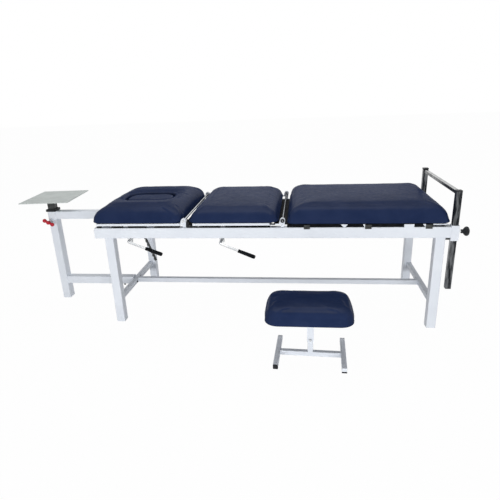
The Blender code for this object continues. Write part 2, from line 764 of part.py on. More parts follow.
def build_section_frame(name, x_span, hinge, stay):
    """A section's steel frame, with its ears and the lug and pin that carry its notched bar."""
    pivot_x, pivot_z = stay["pivot"]
    y_span = (-HALF_WIDTH, HALF_WIDTH)
    hole = rectangle(shrunk(x_span, SECTION_BAR_WIDTH), shrunk(y_span, SECTION_BAR_WIDTH))
    ring = prism(rectangle(x_span, y_span), Z, (SECTION_UNDERSIDE, SECTION_TOP), hole)
    frame = piece(name, ring, "white_paint", (hinge, 0, HINGE_HEIGHT))
    ear = ear_outline(x_span[1], hinge)
    for side in SIDES.values():
        join(frame, prism(ear, Y, side_span(side, EAR_INSET, EAR_THICKNESS)))
    rod_hole = circle((hinge, HINGE_HEIGHT), HINGE_ROD_RADIUS + PIN_GAP)
    cut(frame, prism(rod_hole, Y, shrunk(y_span, -CUT_OVERRUN)))

    lug_y = stay["y_span"][0] - STAY_SIDE_GAP
    rib_height = centred((SECTION_UNDERSIDE + SECTION_TOP) / 2, SECTION_RIB_THICKNESS)
    rib_x = shrunk(x_span, SECTION_BAR_WIDTH - UNION_OVERLAP)
    rib_y = span(lug_y - STAY_LUG_THICKNESS / 2 - SECTION_BAR_WIDTH, SECTION_BAR_WIDTH)
    lug = [(pivot_x + STAY_LUG_RADIUS, rib_height[1] - UNION_OVERLAP),
           (pivot_x - STAY_LUG_RADIUS, rib_height[1] - UNION_OVERLAP),
           *arc(stay["pivot"], STAY_LUG_RADIUS, 180, 360, SMALL_ROUND_SIDES)]
    pin = (lug_y - STAY_LUG_THICKNESS / 2, stay["y_span"][1] + STAY_THICKNESS / 2)
    join(frame, box(rib_x, rib_y, rib_height),
         prism(lug, Y, (lug_y - STAY_LUG_THICKNESS, lug_y)),
         prism(circle((pivot_x, pivot_z), STAY_PIN_RADIUS, SMALL_ROUND_SIDES), Y, pin))


def build_hinge_rod(name, hinge):
    """The round rod that runs right across the table at a hinge."""
    reach = HALF_WIDTH + HINGE_ROD_OVERHANG
    bar = prism(circle((hinge, HINGE_HEIGHT), HINGE_ROD_RADIUS), Y, (-reach, reach))
    piece(name, bar, "bright_chrome", (hinge, 0, HINGE_HEIGHT))


# Notched bars and release levers


def stay_plan(section):
    """Where a notched bar turns, lies and points, worked out from the lever shaft it passes."""
    if section == "head":
        pivot = (HEAD_FRAME_START + HEAD_STAY_PIVOT_OFFSET, SECTION_UNDERSIDE - HEAD_STAY_PIVOT_DROP)
        shaft = (pivot[0] + HEAD_LEVER_PIVOT_OFFSET, LEVER_HEIGHT)
        inset, lean = HEAD_STAY_INSET, 1
    else:
        pivot = (MID_FRAME_START + MID_STAY_PIVOT_OFFSET, SECTION_UNDERSIDE - MID_STAY_PIVOT_DROP)
        shaft = (pivot[0] + MID_LEVER_PIVOT_OFFSET, LEVER_HEIGHT)
        inset, lean = MID_STAY_INSET, -1
    to_shaft = Vector(shaft) - Vector(pivot)
    offset = LEVER_ROD_RADIUS + STAY_SHAFT_GAP + STAY_WIDTH / 2
    angle = math.atan2(to_shaft.y, to_shaft.x) + lean * math.asin(offset / to_shaft.length)
    return {"pivot": pivot, "shaft": shaft, "angle": angle, "lean": lean,
            "y_span": side_span(SIDES["front"], inset, STAY_THICKNESS)}


def notched_outline(length, first_notch, notches, lean):
    """Outline of a notched bar along its own length from its pivot, notched towards the shaft."""
    half = STAY_WIDTH / 2
    edge = [(0, half)]
    for index in range(notches):
        start = first_notch + index * STAY_NOTCH_PITCH
        edge += [(start, half), (start, half - STAY_NOTCH_DEPTH),
                 (start + STAY_NOTCH_PITCH / 2, half)]
    outline = edge + [(length, half), (length, -half), (0, -half)]
    outline += arc((0, 0), half, 270, 90, SMALL_ROUND_SIDES)[1:-1]
    return [(along, -lean * across) for along, across in outline]


def build_stay(section, length, first_notch, notches):
    """A notched bar that hangs from its section and passes the lever's shaft."""
    plan = stay_plan(section)
    pivot_x, pivot_z = plan["pivot"]
    outline = notched_outline(length, first_notch, notches, plan["lean"])
    outline = turned(outline, math.degrees(plan["angle"]))
    outline = [(pivot_x + x, pivot_z + z) for x, z in outline]
    stay = piece(section + "_stay", prism(outline, Y, plan["y_span"]), "black_steel",
                 (pivot_x, sum(plan["y_span"]) / 2, pivot_z))
    hole = circle(plan["pivot"], STAY_PIN_RADIUS + PIN_GAP, SMALL_ROUND_SIDES)
    cut(stay, prism(hole, Y, shrunk(plan["y_span"], -CUT_OVERRUN)))


def lever_points(shaft, inner_end, front, drop):
    """The bent rod of a lever: along its shaft, round the bend and down to its grip."""
    shaft_x, shaft_z = shaft
    points = [(shaft_x, inner_end, shaft_z)]
    centre = (LEVER_BEND_RADIUS, front + LEVER_BEND_RADIUS)
    for along, depth in arc(centre, LEVER_BEND_RADIUS, 180, 270, LEVER_BEND_STEPS):
        points.append((shaft_x + along * math.cos(drop), depth, shaft_z - along * math.sin(drop)))
    end = LEVER_REACH - GRIP_LENGTH + GRIP_BORE_DEPTH - FIT_GAP
    points.append((shaft_x + end * math.cos(drop), front, shaft_z - end * math.sin(drop)))
    return points


def build_lever(section, drop_degrees):
    """A release lever: its bush under the rail, its bent rod and its black grip."""
    plan = stay_plan(section)
    shaft_x, shaft_z = plan["shaft"]
    drop = math.radians(drop_degrees)
    bush_y = side_span(SIDES["front"], BUSH_INSET, BUSH_LENGTH)
    bush_z = (shaft_z - LEVER_ROD_RADIUS - BUSH_WALL_BELOW, RAIL_UNDERSIDE - FIT_GAP)
    bush = piece(section + "_lever_bush", box(centred(shaft_x, BUSH_WIDTH), bush_y, bush_z),
                 "white_paint")
    bore = circle(plan["shaft"], LEVER_ROD_RADIUS + PIN_GAP)
    cut(bush, prism(bore, Y, shrunk(bush_y, -CUT_OVERRUN)))

    front = -HALF_WIDTH - LEVER_STANDOFFS[section]
    pivot = (shaft_x, front, shaft_z)
    points = lever_points(plan["shaft"], plan["y_span"][1] + LEVER_PAST_STAY, front, drop)
    bent_rod(section + "_lever_rod", points, LEVER_ROD_RADIUS, "bright_chrome", pivot)

    along = Vector((math.cos(drop), 0, -math.sin(drop)))
    start = Vector(pivot) + along * (LEVER_REACH - GRIP_LENGTH)
    grip = piece(section + "_lever_grip", round_bar(start, start + along * GRIP_LENGTH, GRIP_RADIUS),
                 "black_plastic", pivot)
    cut(grip, round_bar(start - along * CUT_OVERRUN, start + along * GRIP_BORE_DEPTH,
                        LEVER_ROD_RADIUS + PIN_GAP))


# Cushions


def edge_profile(height, reach, crown, under_roll=CUSHION_UNDER_ROLL):
    """Inset and height from a cushion's underside, past its widest line and over its soft edge."""
    rise = height - crown - under_roll
    points = [(under_roll, 0)]
    for step in range(ROLL_STEPS + 1):
        angle = math.pi / 2 * step / ROLL_STEPS
        inset = reach * (1 - math.cos(angle) ** (2 / CUSHION_EDGE_POWER))
        points.append((inset, under_roll + rise * math.sin(angle) ** (2 / CUSHION_EDGE_POWER)))
    return points


def ring_at(x_span, y_span, corner, inset, height):
    """A ring of a cushion's surface, drawn in from its widest outline."""
    outline = rounded_rectangle(shrunk(x_span, inset), shrunk(y_span, inset), corner)
    return [(x, y, height) for x, y in outline]


def cushion_rings(x_span, y_span, underside, corner, profile):
    """Rings of a cushion at the insets and heights of its edge profile."""
    return [ring_at(x_span, y_span, corner, inset, underside + rise) for inset, rise in profile]


def crowned_top(edge_ring, crown):
    """Rings that rise from a cushion's edge roll to the middle of its crown."""
    centre_x = sum(point[0] for point in edge_ring) / len(edge_ring)
    centre_y = sum(point[1] for point in edge_ring) / len(edge_ring)
    rings = []
    for share in CROWN_RING_SHARES:
        rings.append([(centre_x + (x - centre_x) * share, centre_y + (y - centre_y) * share,
                       z + crown * (1 - share ** 2)) for x, y, z in edge_ring])
    return rings


def build_cushion(name, x_span, y_span, z_span, pivot, reach=CUSHION_EDGE_REACH,
                  corner=CUSHION_CORNER_RADIUS):
    """A cushion that is widest near its underside, with a soft edge and a crown."""
    underside, top = z_span
    profile = edge_profile(top - underside, reach, CUSHION_CROWN)
    rings = cushion_rings(x_span, y_span, underside, corner, profile)
    rings += crowned_top(rings[-1], CUSHION_CROWN)
    piece(name, lofted(rings), "navy_vinyl", pivot)


def section_cushion_span(x_span, overhangs):
    """The X span of a cushion that overhangs its section's frame."""
    return (x_span[0] - overhangs[0], x_span[1] + overhangs[1])


def face_slot_spans(cushion_x):
    """X and Y spans of the face opening."""
    middle = sum(cushion_x) / 2 + FACE_SLOT_OFFSET
    return centred(middle, FACE_SLOT_LENGTH), centred(0, FACE_SLOT_WIDTH)


def blended(outer, inner, share, height):
    """A ring part of the way from an outer ring to an inner one."""
    return [(a[0] + (b[0] - a[0]) * share, a[1] + (b[1] - a[1]) * share, height)
            for a, b in zip(outer, inner)]


def build_head_cushion(cushion_x, cushion_y, pivot):
    """The head cushion, with the face opening right through it and a dip around the opening."""
    profile = edge_profile(HEAD_CUSHION_HEIGHT, CUSHION_EDGE_REACH, CUSHION_CROWN)
    rings = cushion_rings(cushion_x, cushion_y, CUSHION_UNDERSIDE, CUSHION_CORNER_RADIUS, profile)
    slot_x, slot_y = face_slot_spans(cushion_x)
    lip_top = CUSHION_UNDERSIDE + HEAD_CUSHION_HEIGHT - FACE_SLOT_DIP
    lip = FACE_SLOT_LIP
    lip_ring = ring_at(slot_x, slot_y, FACE_SLOT_CORNER, -lip, lip_top)
    edge_ring = rings[-1]
    for share, rise_share in zip(FACE_RING_SHARES, FACE_RISE_SHARES):
        rings.append(blended(edge_ring, lip_ring, share, edge_ring[0][2] + CUSHION_CROWN * rise_share))
    for inset, height in arc((-lip, lip_top - lip), lip, 90, 0, LIP_STEPS):
        rings.append(ring_at(slot_x, slot_y, FACE_SLOT_CORNER, inset, height))
    rings.append(ring_at(slot_x, slot_y, FACE_SLOT_CORNER, 0, CUSHION_UNDERSIDE))
    piece("head_cushion", lofted(rings, closed=True), "navy_vinyl", pivot)


def build_face_plug(cushion_x):
    """The insert that fills the face opening."""
    slot_x, slot_y = face_slot_spans(cushion_x)
    plug_x, plug_y = shrunk(slot_x, PLUG_GAP), shrunk(slot_y, PLUG_GAP)
    profile = edge_profile(HEAD_CUSHION_HEIGHT - PLUG_RECESS, PLUG_EDGE_REACH, PLUG_CROWN,
                           PLUG_UNDER_ROLL)
    rings = cushion_rings(plug_x, plug_y, CUSHION_UNDERSIDE, FACE_SLOT_CORNER, profile)
    rings += crowned_top(rings[-1], PLUG_CROWN)
    piece("face_plug", lofted(rings), "navy_vinyl", (sum(plug_x) / 2, 0, CUSHION_UNDERSIDE))


# Sections


def cushion_width():
    """The Y span of the three table cushions."""
    return shrunk((-HALF_WIDTH, HALF_WIDTH), -CUSHION_SIDE_OVERHANG)


def build_head_section():
    """The head section: its frame, cushion, face insert, hinge rod and notched bar."""
    x_span = (HEAD_FRAME_START, HEAD_FRAME_END)
    build_section_frame("head_frame", x_span, HEAD_HINGE, stay_plan("head"))
    build_hinge_rod("head_hinge_rod", HEAD_HINGE)
    cushion_x = section_cushion_span(x_span, HEAD_CUSHION_OVERHANGS)
    build_head_cushion(cushion_x, cushion_width(), (HEAD_HINGE, 0, HINGE_HEIGHT))
    build_face_plug(cushion_x)
    build_stay("head", HEAD_STAY_LENGTH, HEAD_STAY_FIRST_NOTCH, HEAD_STAY_NOTCHES)
    build_lever("head", HEAD_LEVER_DROP_DEGREES)


def build_middle_section():
    """The middle section: its frame, cushion, hinge rod and notched bar."""
    x_span = (MID_FRAME_START, MID_FRAME_END)
    build_section_frame("mid_frame", x_span, MID_HINGE, stay_plan("mid"))
    build_hinge_rod("mid_hinge_rod", MID_HINGE)
    build_cushion("mid_cushion", section_cushion_span(x_span, MID_CUSHION_OVERHANGS), cushion_width(),
                  span(CUSHION_UNDERSIDE, MID_CUSHION_HEIGHT), (MID_HINGE, 0, HINGE_HEIGHT))
    build_stay("mid", MID_STAY_LENGTH, MID_STAY_FIRST_NOTCH, MID_STAY_NOTCHES)
    build_lever("mid", MID_LEVER_DROP_DEGREES)


def build_carriage():
    """The leg section's rolling frame, with its axles and the plates that guide it on the rails."""
    x_span = (CARRIAGE_START, CARRIAGE_END)
    z_span = (RAIL_TOP + CARRIAGE_CLEARANCE, CARRIAGE_TOP)
    y_span = shrunk((-HALF_WIDTH, HALF_WIDTH), RAIL_DEPTH + CARRIAGE_SIDE_GAP)
    hole = rectangle(shrunk(x_span, CARRIAGE_BAR_WIDTH), shrunk(y_span, CARRIAGE_BAR_WIDTH))
    carriage = piece("leg_carriage", prism(rectangle(x_span, y_span), Z, z_span, hole), "black_steel")
    guide_z = (RAIL_TOP - GUIDE_DROP, CARRIAGE_TOP - GUIDE_BELOW_TOP)
    for place in roller_places():
        for side in SIDES.values():
            guide_y = side_span(side, -GUIDE_STANDOFF - GUIDE_THICKNESS, GUIDE_THICKNESS)
            axle_y = side_span(side, -GUIDE_STANDOFF - UNION_OVERLAP / 2,
                               RAIL_DEPTH + CARRIAGE_SIDE_GAP + GUIDE_STANDOFF + UNION_OVERLAP)
            join(carriage, box(centred(place, GUIDE_WIDTH), guide_y, guide_z),
                 prism(circle((place, ROLLER_HEIGHT), AXLE_RADIUS, SMALL_ROUND_SIDES), Y, axle_y))


def roller_places():
    """X places of the three roller pairs."""
    return [CARRIAGE_START + CARRIAGE_LENGTH * share for share in ROLLER_PLACE_SHARES]


def build_rollers():
    """The six black rollers that run on the rails."""
    for label, side in SIDES.items():
        y_span = side_span(side, ROLLER_INSET, ROLLER_WIDTH)
        for number, place in enumerate(roller_places(), 1):
            centre = (place, ROLLER_HEIGHT)
            mesh = prism(circle(centre, ROLLER_RADIUS), Y, y_span, circle(centre, AXLE_RADIUS + PIN_GAP))
            piece(f"{label}_roller_{number}", mesh, "black_plastic", (place, sum(y_span) / 2, ROLLER_HEIGHT))


def build_leg_section():
    """The rolling leg section: its frame, rollers and cushion."""
    build_carriage()
    build_rollers()
    x_span = section_cushion_span((CARRIAGE_START, CARRIAGE_END), LEG_CUSHION_OVERHANGS)
    underside = CARRIAGE_TOP + FIT_GAP
    build_cushion("leg_cushion", x_span, cushion_width(), span(underside, LEG_CUSHION_HEIGHT),
                  (x_span[0], 0, underside), corner=LEG_CUSHION_CORNER_RADIUS)


# Leg stool


def build_stool():
    """The leg stool: an H-shaped base with a post, a sleeve on the post and a cushion on the sleeve.

    It is drawn square to the table. Then all of it but the cushion is turned on its post's axis.
    """
    centre_y = -HALF_WIDTH - STOOL_DISTANCE
    axis = (STOOL_PLACE, centre_y, 0)
    steel = [*build_stool_feet(axis), build_stool_base(axis), build_stool_sleeve(axis)]
    for obj in steel:
        obj.rotation_euler.z = math.radians(STOOL_TURN_DEGREES)
    seat_x = STOOL_PLACE + STOOL_SEAT_SHIFT
    build_cushion("stool_cushion", centred(seat_x, STOOL_SEAT_LENGTH), centred(centre_y, STOOL_SEAT_DEPTH),
                  span(STOOL_SEAT_UNDERSIDE, STOOL_SEAT_HEIGHT), (seat_x, centre_y, STOOL_SEAT_UNDERSIDE),
                  STOOL_EDGE_REACH, STOOL_CORNER_RADIUS)


def build_stool_feet(axis):
    """The two feet, at the ends of the base."""
    base_x = centred(axis[0], STOOL_BASE_LENGTH)
    for label, start in (("left", base_x[0]), ("right", base_x[1] - STOOL_TUBE_SIZE)):
        mesh = square_tube(Y, centred(axis[1], STOOL_FOOT_LENGTH), span(start, STOOL_TUBE_SIZE),
                           (0, STOOL_TUBE_SIZE), STOOL_TUBE_WALL)
        yield piece(f"stool_{label}_foot", mesh, "white_paint", axis)


def build_stool_base(axis):
    """The tube between the feet and its post, which has a row of pin holes."""
    between = shrunk(centred(axis[0], STOOL_BASE_LENGTH), STOOL_TUBE_SIZE + FIT_GAP)
    mesh = square_tube(X, between, centred(axis[1], STOOL_TUBE_SIZE), (0, STOOL_TUBE_SIZE), STOOL_TUBE_WALL)
    base = piece("stool_base", mesh, "white_paint", axis)
    post_x, post_y = centred(axis[0], STOOL_POST_SIZE), centred(axis[1], STOOL_POST_SIZE)
    post_z = (STOOL_TUBE_SIZE - STOOL_TUBE_WALL / 2, STOOL_POST_TOP)
    join(base, square_tube(Z, post_z, post_x, post_y, STOOL_TUBE_WALL))
    for number in range(STOOL_PIN_HOLES):
        height = STOOL_PIN_FIRST_HEIGHT + number * STOOL_PIN_PITCH
        hole = circle((axis[0], height), STOOL_PIN_RADIUS, SMALL_ROUND_SIDES)
        cut(base, prism(hole, Y, shrunk(post_y, -CUT_OVERRUN)))
    return base


def build_stool_sleeve(axis):
    """The sleeve that carries the seat and slides on the post."""
    wall = (STOOL_SLEEVE_SIZE - STOOL_POST_SIZE) / 2 - PIN_GAP
    sleeve_y = centred(axis[1], STOOL_SLEEVE_SIZE)
    sleeve_z = (STOOL_SLEEVE_UNDERSIDE, STOOL_SEAT_UNDERSIDE - FIT_GAP)
    mesh = square_tube(Z, sleeve_z, centred(axis[0], STOOL_SLEEVE_SIZE), sleeve_y, wall)
    sleeve = piece("stool_sleeve", mesh, "white_paint", axis)
    pin_height = STOOL_PIN_FIRST_HEIGHT + STOOL_PIN_PITCH
    hole = circle((axis[0], pin_height), STOOL_PIN_RADIUS, SMALL_ROUND_SIDES)
    cut(sleeve, prism(hole, Y, shrunk(sleeve_y, -CUT_OVERRUN)))
    return sleeve


# Whole table


def clear_scene():
    """Remove every object that the scene starts with."""
    for obj in list(bpy.data.objects):
        bpy.data.objects.remove(obj)


def stand_on_origin():
    """Move the whole table so that its bounding box stands centred on the origin."""
    bpy.context.view_layer.update()
    depsgraph = bpy.context.evaluated_depsgraph_get()
    points = []
    for obj in table_root().children:
        evaluated = obj.evaluated_get(depsgraph)
        points += [obj.matrix_world @ vertex.co for vertex in evaluated.to_mesh().vertices]
        evaluated.to_mesh_clear()
    low = Vector([min(point[axis] for point in points) for axis in (X, Y, Z)])
    high = Vector([max(point[axis] for point in points) for axis in (X, Y, Z)])
    middle = (low + high) / 2
    table_root().location = (-middle.x, -middle.y, -low.z)
    bpy.context.view_layer.update()


def main():
    clear_scene()
    build_rails()
    build_legs()
    build_stand_frame()
    build_stand_column()
    build_clamp_wing()
    build_sleeves()
    build_bow()
    build_bow_knob()
    build_lugs()
    build_stops()
    build_head_section()
    build_middle_section()
    build_leg_section()
    build_stool()
    stand_on_origin()


if __name__ == "__main__":
    main()
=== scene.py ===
"""Traction table: cushions, tubes, fittings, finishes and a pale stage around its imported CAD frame.

Laid out as an add-on and run as a script. Metres, +X towards the foot end, +Z up.
Pieces take their places from the CAD nodes that they stand for.
"""

import json
import math

import bmesh
import bpy
from mathutils import Matrix, Vector, geometry, noise


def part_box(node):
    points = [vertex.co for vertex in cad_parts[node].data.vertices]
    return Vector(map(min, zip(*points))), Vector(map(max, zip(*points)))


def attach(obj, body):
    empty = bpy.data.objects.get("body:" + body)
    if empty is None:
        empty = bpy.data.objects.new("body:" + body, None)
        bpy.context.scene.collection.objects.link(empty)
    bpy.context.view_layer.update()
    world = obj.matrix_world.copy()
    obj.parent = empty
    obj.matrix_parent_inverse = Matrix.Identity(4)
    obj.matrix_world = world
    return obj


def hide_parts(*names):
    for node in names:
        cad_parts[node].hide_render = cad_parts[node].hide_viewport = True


bl_info = {
    "name": "Traction table",
    "version": (1, 0, 0),
    "blender": (4, 5, 0),
    "location": "View3D > Sidebar > Traction table",
    "description": "Cushions, tubes, fittings, finishes and stage of a traction table",
    "category": "Add Mesh",
}

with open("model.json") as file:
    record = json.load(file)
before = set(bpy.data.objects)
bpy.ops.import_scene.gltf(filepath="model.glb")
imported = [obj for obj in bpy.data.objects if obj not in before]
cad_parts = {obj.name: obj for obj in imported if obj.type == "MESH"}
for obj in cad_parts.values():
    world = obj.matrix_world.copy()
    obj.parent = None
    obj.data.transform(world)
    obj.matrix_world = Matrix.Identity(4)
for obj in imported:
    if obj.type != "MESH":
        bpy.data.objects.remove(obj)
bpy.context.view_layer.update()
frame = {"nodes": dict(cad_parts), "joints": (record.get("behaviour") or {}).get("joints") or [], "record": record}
RECORD = frame["record"]
NODES = frame["nodes"]
BODY_OF = {node: body for body, nodes in RECORD["behaviour"]["bodies"].items() for node in nodes}
SLOT_OF = {part["node"]: part["material_slot"] for part in RECORD["subparts"]}
JOINTS = {joint["name"]: joint for joint in frame["joints"]}

X, Y, Z = range(3)
AXES = (Vector((1, 0, 0)), Vector((0, 1, 0)), Vector((0, 0, 1)))
SIDES = (("front", -1), ("rear", 1))
RAIL_LOW, RAIL_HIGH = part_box("front_rail")
CENTRE_LINE = (RAIL_LOW.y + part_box("rear_rail")[1].y) / 2
HALF_WIDTH = CENTRE_LINE - RAIL_LOW.y
GAP = 0.0001
FITTING_EDGE = 0.0008
BLOCK_EDGE = 0.0012


def on_table(along, across, height):
    """A point by its distance along the rails, its distance from the centre line and its height."""
    return Vector((RAIL_LOW.x + along, CENTRE_LINE + across, height))


# Selecting and shaping


def clear_selection():
    """Leave edit mode and deselect everything."""
    if bpy.context.object and bpy.context.object.mode != "OBJECT":
        bpy.ops.object.mode_set(mode="OBJECT")
    bpy.ops.object.select_all(action="DESELECT")


def make_active(*objects):
    """Select only these objects, the first of them active."""
    clear_selection()
    for obj in objects:
        obj.select_set(True)
    bpy.context.view_layer.objects.active = objects[0]


def named(name):
    """Name the object that was just added, and its mesh."""
    obj = bpy.context.object
    obj.name = name
    obj.data.name = name
    return obj


def settle(obj):
    """Put an object's place, turn and size into its mesh."""
    make_active(obj)
    bpy.ops.object.transform_apply(location=True, rotation=True, scale=True)
    return obj


def choose(obj, kind, test):
    """Open an object in edit mode with only the edges or faces selected that pass a test."""
    make_active(obj)
    bpy.ops.object.mode_set(mode="EDIT")
    bpy.ops.mesh.select_mode(type=kind)
    bpy.ops.mesh.select_all(action="DESELECT")
    mesh = bmesh.from_edit_mesh(obj.data)
    elements = {"FACE": mesh.faces, "EDGE": mesh.edges, "VERT": mesh.verts}[kind]
    for element in elements:
        if test(element):
            element.select_set(True)
    mesh.select_flush_mode()
    bmesh.update_edit_mesh(obj.data)


def ramp(value, start, length):
    """How far a value is along a range, from 0 to 1."""
    return min(1, max(0, (value - start) / length))


def open_whole(obj):
    """Open an object in edit mode with everything selected."""
    make_active(obj)
    bpy.ops.object.mode_set(mode="EDIT")
    bpy.ops.mesh.select_all(action="SELECT")


def stop_editing():
    """Back to object mode."""
    bpy.ops.object.mode_set(mode="OBJECT")


def outward(obj):
    """Turn the open mesh's faces outwards and leave edit mode."""
    bpy.ops.mesh.select_all(action="SELECT")
    bpy.ops.mesh.normals_make_consistent(inside=False)
    stop_editing()
    return obj


def runs_along(edge, axis):
    """True for an edge parallel to an axis."""
    direction = (edge.verts[1].co - edge.verts[0].co).normalized()
    return abs(direction.dot(AXES[axis])) > 0.999


def faces_towards(face, direction):
    """True for a face whose normal points in a direction."""
    return face.normal.dot(Vector(direction)) > 0.99


def block(name, low, high):
    """A block between two corners."""
    clear_selection()
    low, high = Vector(low), Vector(high)
    bpy.ops.mesh.primitive_cube_add(size=1, location=(low + high) / 2, scale=high - low)
    return settle(named(name))


def round_bar(name, start, end, radius, sides=40):
    """A round bar between two points."""
    clear_selection()
    start, end = Vector(start), Vector(end)
    run = end - start
    bpy.ops.mesh.primitive_cylinder_add(vertices=sides, radius=radius, depth=run.length,
                                        location=(start + end) / 2,
                                        rotation=run.to_track_quat("Z", "Y").to_euler())
    return settle(named(name))


def cross_bar(name, middle, start, end, radius, sides=40):
    """A round bar across the table, level with a middle point."""
    return round_bar(name, (middle.x, start, middle.z), (middle.x, end, middle.z), radius, sides)


def turned(name, start, along, stations, sides=48):
    """A round piece along a line, extruded and widened from station to station."""
    clear_selection()
    along = Vector(along)
    origin = Vector(start)
    reached, size = stations[0]
    bpy.ops.mesh.primitive_circle_add(vertices=sides, radius=size, fill_type="NGON",
                                      location=origin + along * reached,
                                      rotation=along.to_track_quat("Z", "Y").to_euler())
    obj = settle(named(name))
    choose(obj, "FACE", lambda face: True)
    for place, radius in stations[1:]:
        bpy.ops.mesh.extrude_region_move(TRANSFORM_OT_translate={"value": along * (place - reached)})
        share = radius / size
        bpy.ops.transform.resize(value=(share, share, share), center_override=origin + along * place)
        reached, size = place, radius
    return outward(obj)


def plate(name, outline, low_y, high_y):
    """An upright plate with an outline of (x, z) points, extruded across the table."""
    clear_selection()
    bpy.ops.mesh.primitive_circle_add(vertices=len(outline), radius=1, fill_type="NGON")
    obj = named(name)
    for vertex, (x, z) in zip(obj.data.vertices, outline):
        vertex.co = (x, low_y, z)
    choose(obj, "FACE", lambda face: True)
    bpy.ops.mesh.extrude_region_move(TRANSFORM_OT_translate={"value": (0, high_y - low_y, 0)})
    return outward(obj)


def repeated(obj, name, move):
    """Another piece like this one, moved, with its own mesh."""
    make_active(obj)
    bpy.ops.object.duplicate(linked=False)
    copy = named(name)
    copy.location = copy.location + Vector(move)
    return settle(copy)


def swung(obj, centre, angle, axis=Z):
    """A piece turned about an axis through a point."""
    centre = Vector(centre)
    there = Matrix.Translation(centre)
    obj.matrix_world = there @ Matrix.Rotation(angle, 4, AXES[axis]) @ there.inverted() @ obj.matrix_world
    return settle(obj)


def sink(obj, direction, wall, depth):
    """Sink the face that points in a direction, inside a wall, to a depth."""
    choose(obj, "FACE", lambda face: faces_towards(face, direction))
    bpy.ops.mesh.inset(thickness=wall)
    bpy.ops.mesh.extrude_region_move(TRANSFORM_OT_translate={"value": -depth * Vector(direction)})
    stop_editing()


def bevel_chosen(width, segments):
    """Bevel the selected edges and leave edit mode."""
    bpy.ops.mesh.bevel(offset=width, segments=segments, affect="EDGES", clamp_overlap=True)
    stop_editing()


def bevel_sharp(obj, width, segments=3, degrees=40):
    """Bevel every sharp edge of an object."""
    make_active(obj)
    bpy.ops.object.mode_set(mode="EDIT")
    bpy.ops.mesh.select_mode(type="EDGE")
    bpy.ops.mesh.select_all(action="DESELECT")
    bpy.ops.mesh.edges_select_sharp(sharpness=math.radians(degrees))
    bevel_chosen(width, segments)
    return obj


def apply_modifier(obj, kind, **settings):
    """Add a modifier with its settings and apply it."""
    make_active(obj)
    modifier = obj.modifiers.new(kind.title(), kind)
    for setting, value in settings.items():
        setattr(modifier, setting, value)
    bpy.ops.object.modifier_apply(modifier=modifier.name)
    return obj


def merge_doubles(obj, distance=0.00002):
    """Merge vertices that lie on each other."""
    open_whole(obj)
    bpy.ops.mesh.remove_doubles(threshold=distance)
    return outward(obj)


def joined(name, objects):
    """One object out of several."""
    make_active(*objects)
    if len(objects) > 1:
        bpy.ops.object.join()
    return named(name)


def smooth_by_angle(obj, degrees=35):
    """Smooth shading with real edges kept sharp and flat faces kept flat."""
    make_active(obj)
    bpy.ops.object.shade_smooth_by_angle(angle=math.radians(degrees))
    return apply_modifier(obj, "WEIGHTED_NORMAL", keep_sharp=True)


def copy_of(node, name):
    """A merged copy of a CAD node's mesh, as a new object."""
    mesh = NODES[node].data.copy()
    mesh.name = name
    obj = bpy.data.objects.new(name, mesh)
    bpy.context.scene.collection.objects.link(obj)
    mesh.materials.clear()
    return merge_doubles(obj)


def softened(node, name, width):
    """A copy of a CAD node with its flat faces joined up and its edges rounded."""
    obj = copy_of(node, name)
    open_whole(obj)
    bpy.ops.mesh.dissolve_limited(angle_limit=math.radians(0.5))
    stop_editing()
    bevel_sharp(obj, width)
    return smooth_by_angle(obj)


def soft_block(name, low, high, width=0.0006):
    """A block with slightly rounded edges."""
    return smooth_by_angle(bevel_sharp(block(name, low, high), width, 2))


def dress(obj, node, replaces=True, slot=None, look=None):
    """Give a piece its finish and its body, and hide the CAD node that it stands for."""
    slot = slot or SLOT_OF[node]
    obj.data.materials.clear()
    obj.data.materials.append(finish(look or slot))
    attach(obj, BODY_OF[node])
    if replaces:
        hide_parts(node)
    return obj


def dress_pair(obj, rear_name, nodes, move=None, **looks):
    """Dress a front piece, and its copy at the rear."""
    front, rear = nodes
    rear_obj = repeated(obj, rear_name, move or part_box(rear)[0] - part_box(front)[0])
    dress(obj, front, **looks)
    dress(rear_obj, rear, **looks)


# Finishes


def add_node(tree, kind, links=None, **settings):
    """A shader node with its settings, values and incoming links."""
    made = tree.nodes.new(kind)
    for setting, value in settings.items():
        setattr(made, setting, value)
    for socket, value in (links or {}).items():
        if isinstance(value, bpy.types.NodeSocket):
            tree.links.new(value, made.inputs[socket])
        else:
            made.inputs[socket].default_value = value
    return made


def noise_value(tree, place, scale, detail=3.0, stretch=None):
    """A noise pattern in metres, stretched along an axis or not."""
    if stretch:
        place = add_node(tree, "ShaderNodeMapping", {"Vector": place, "Scale": stretch}).outputs["Vector"]
    made = add_node(tree, "ShaderNodeTexNoise", {"Vector": place, "Scale": scale, "Detail": detail})
    return made.outputs["Fac"]


def remap(tree, value, low, high, start=0.35, end=0.65):
    """A value stretched from one range to another."""
    made = add_node(tree, "ShaderNodeMapRange", {"Value": value, "From Min": start, "From Max": end,
                                                 "To Min": low, "To Max": high})
    return made.outputs["Result"]


def mix_colour(tree, factor, first, second):
    """A colour between two others."""
    made = add_node(tree, "ShaderNodeMix", data_type="RGBA")
    tree.links.new(factor, made.inputs["Factor"])
    for socket, colour in ((6, first), (7, second)):
        if isinstance(colour, bpy.types.NodeSocket):
            tree.links.new(colour, made.inputs[socket])
        else:
            made.inputs[socket].default_value = (*colour, 1)
    return made.outputs[2]


def bump(tree, height, distance, below=None):
    """A bump from a height, over another bump or none."""
    links = {"Height": height, "Distance": distance, "Strength": 1.0}
    if below:
        links["Normal"] = below
    return add_node(tree, "ShaderNodeBump", links).outputs["Normal"]


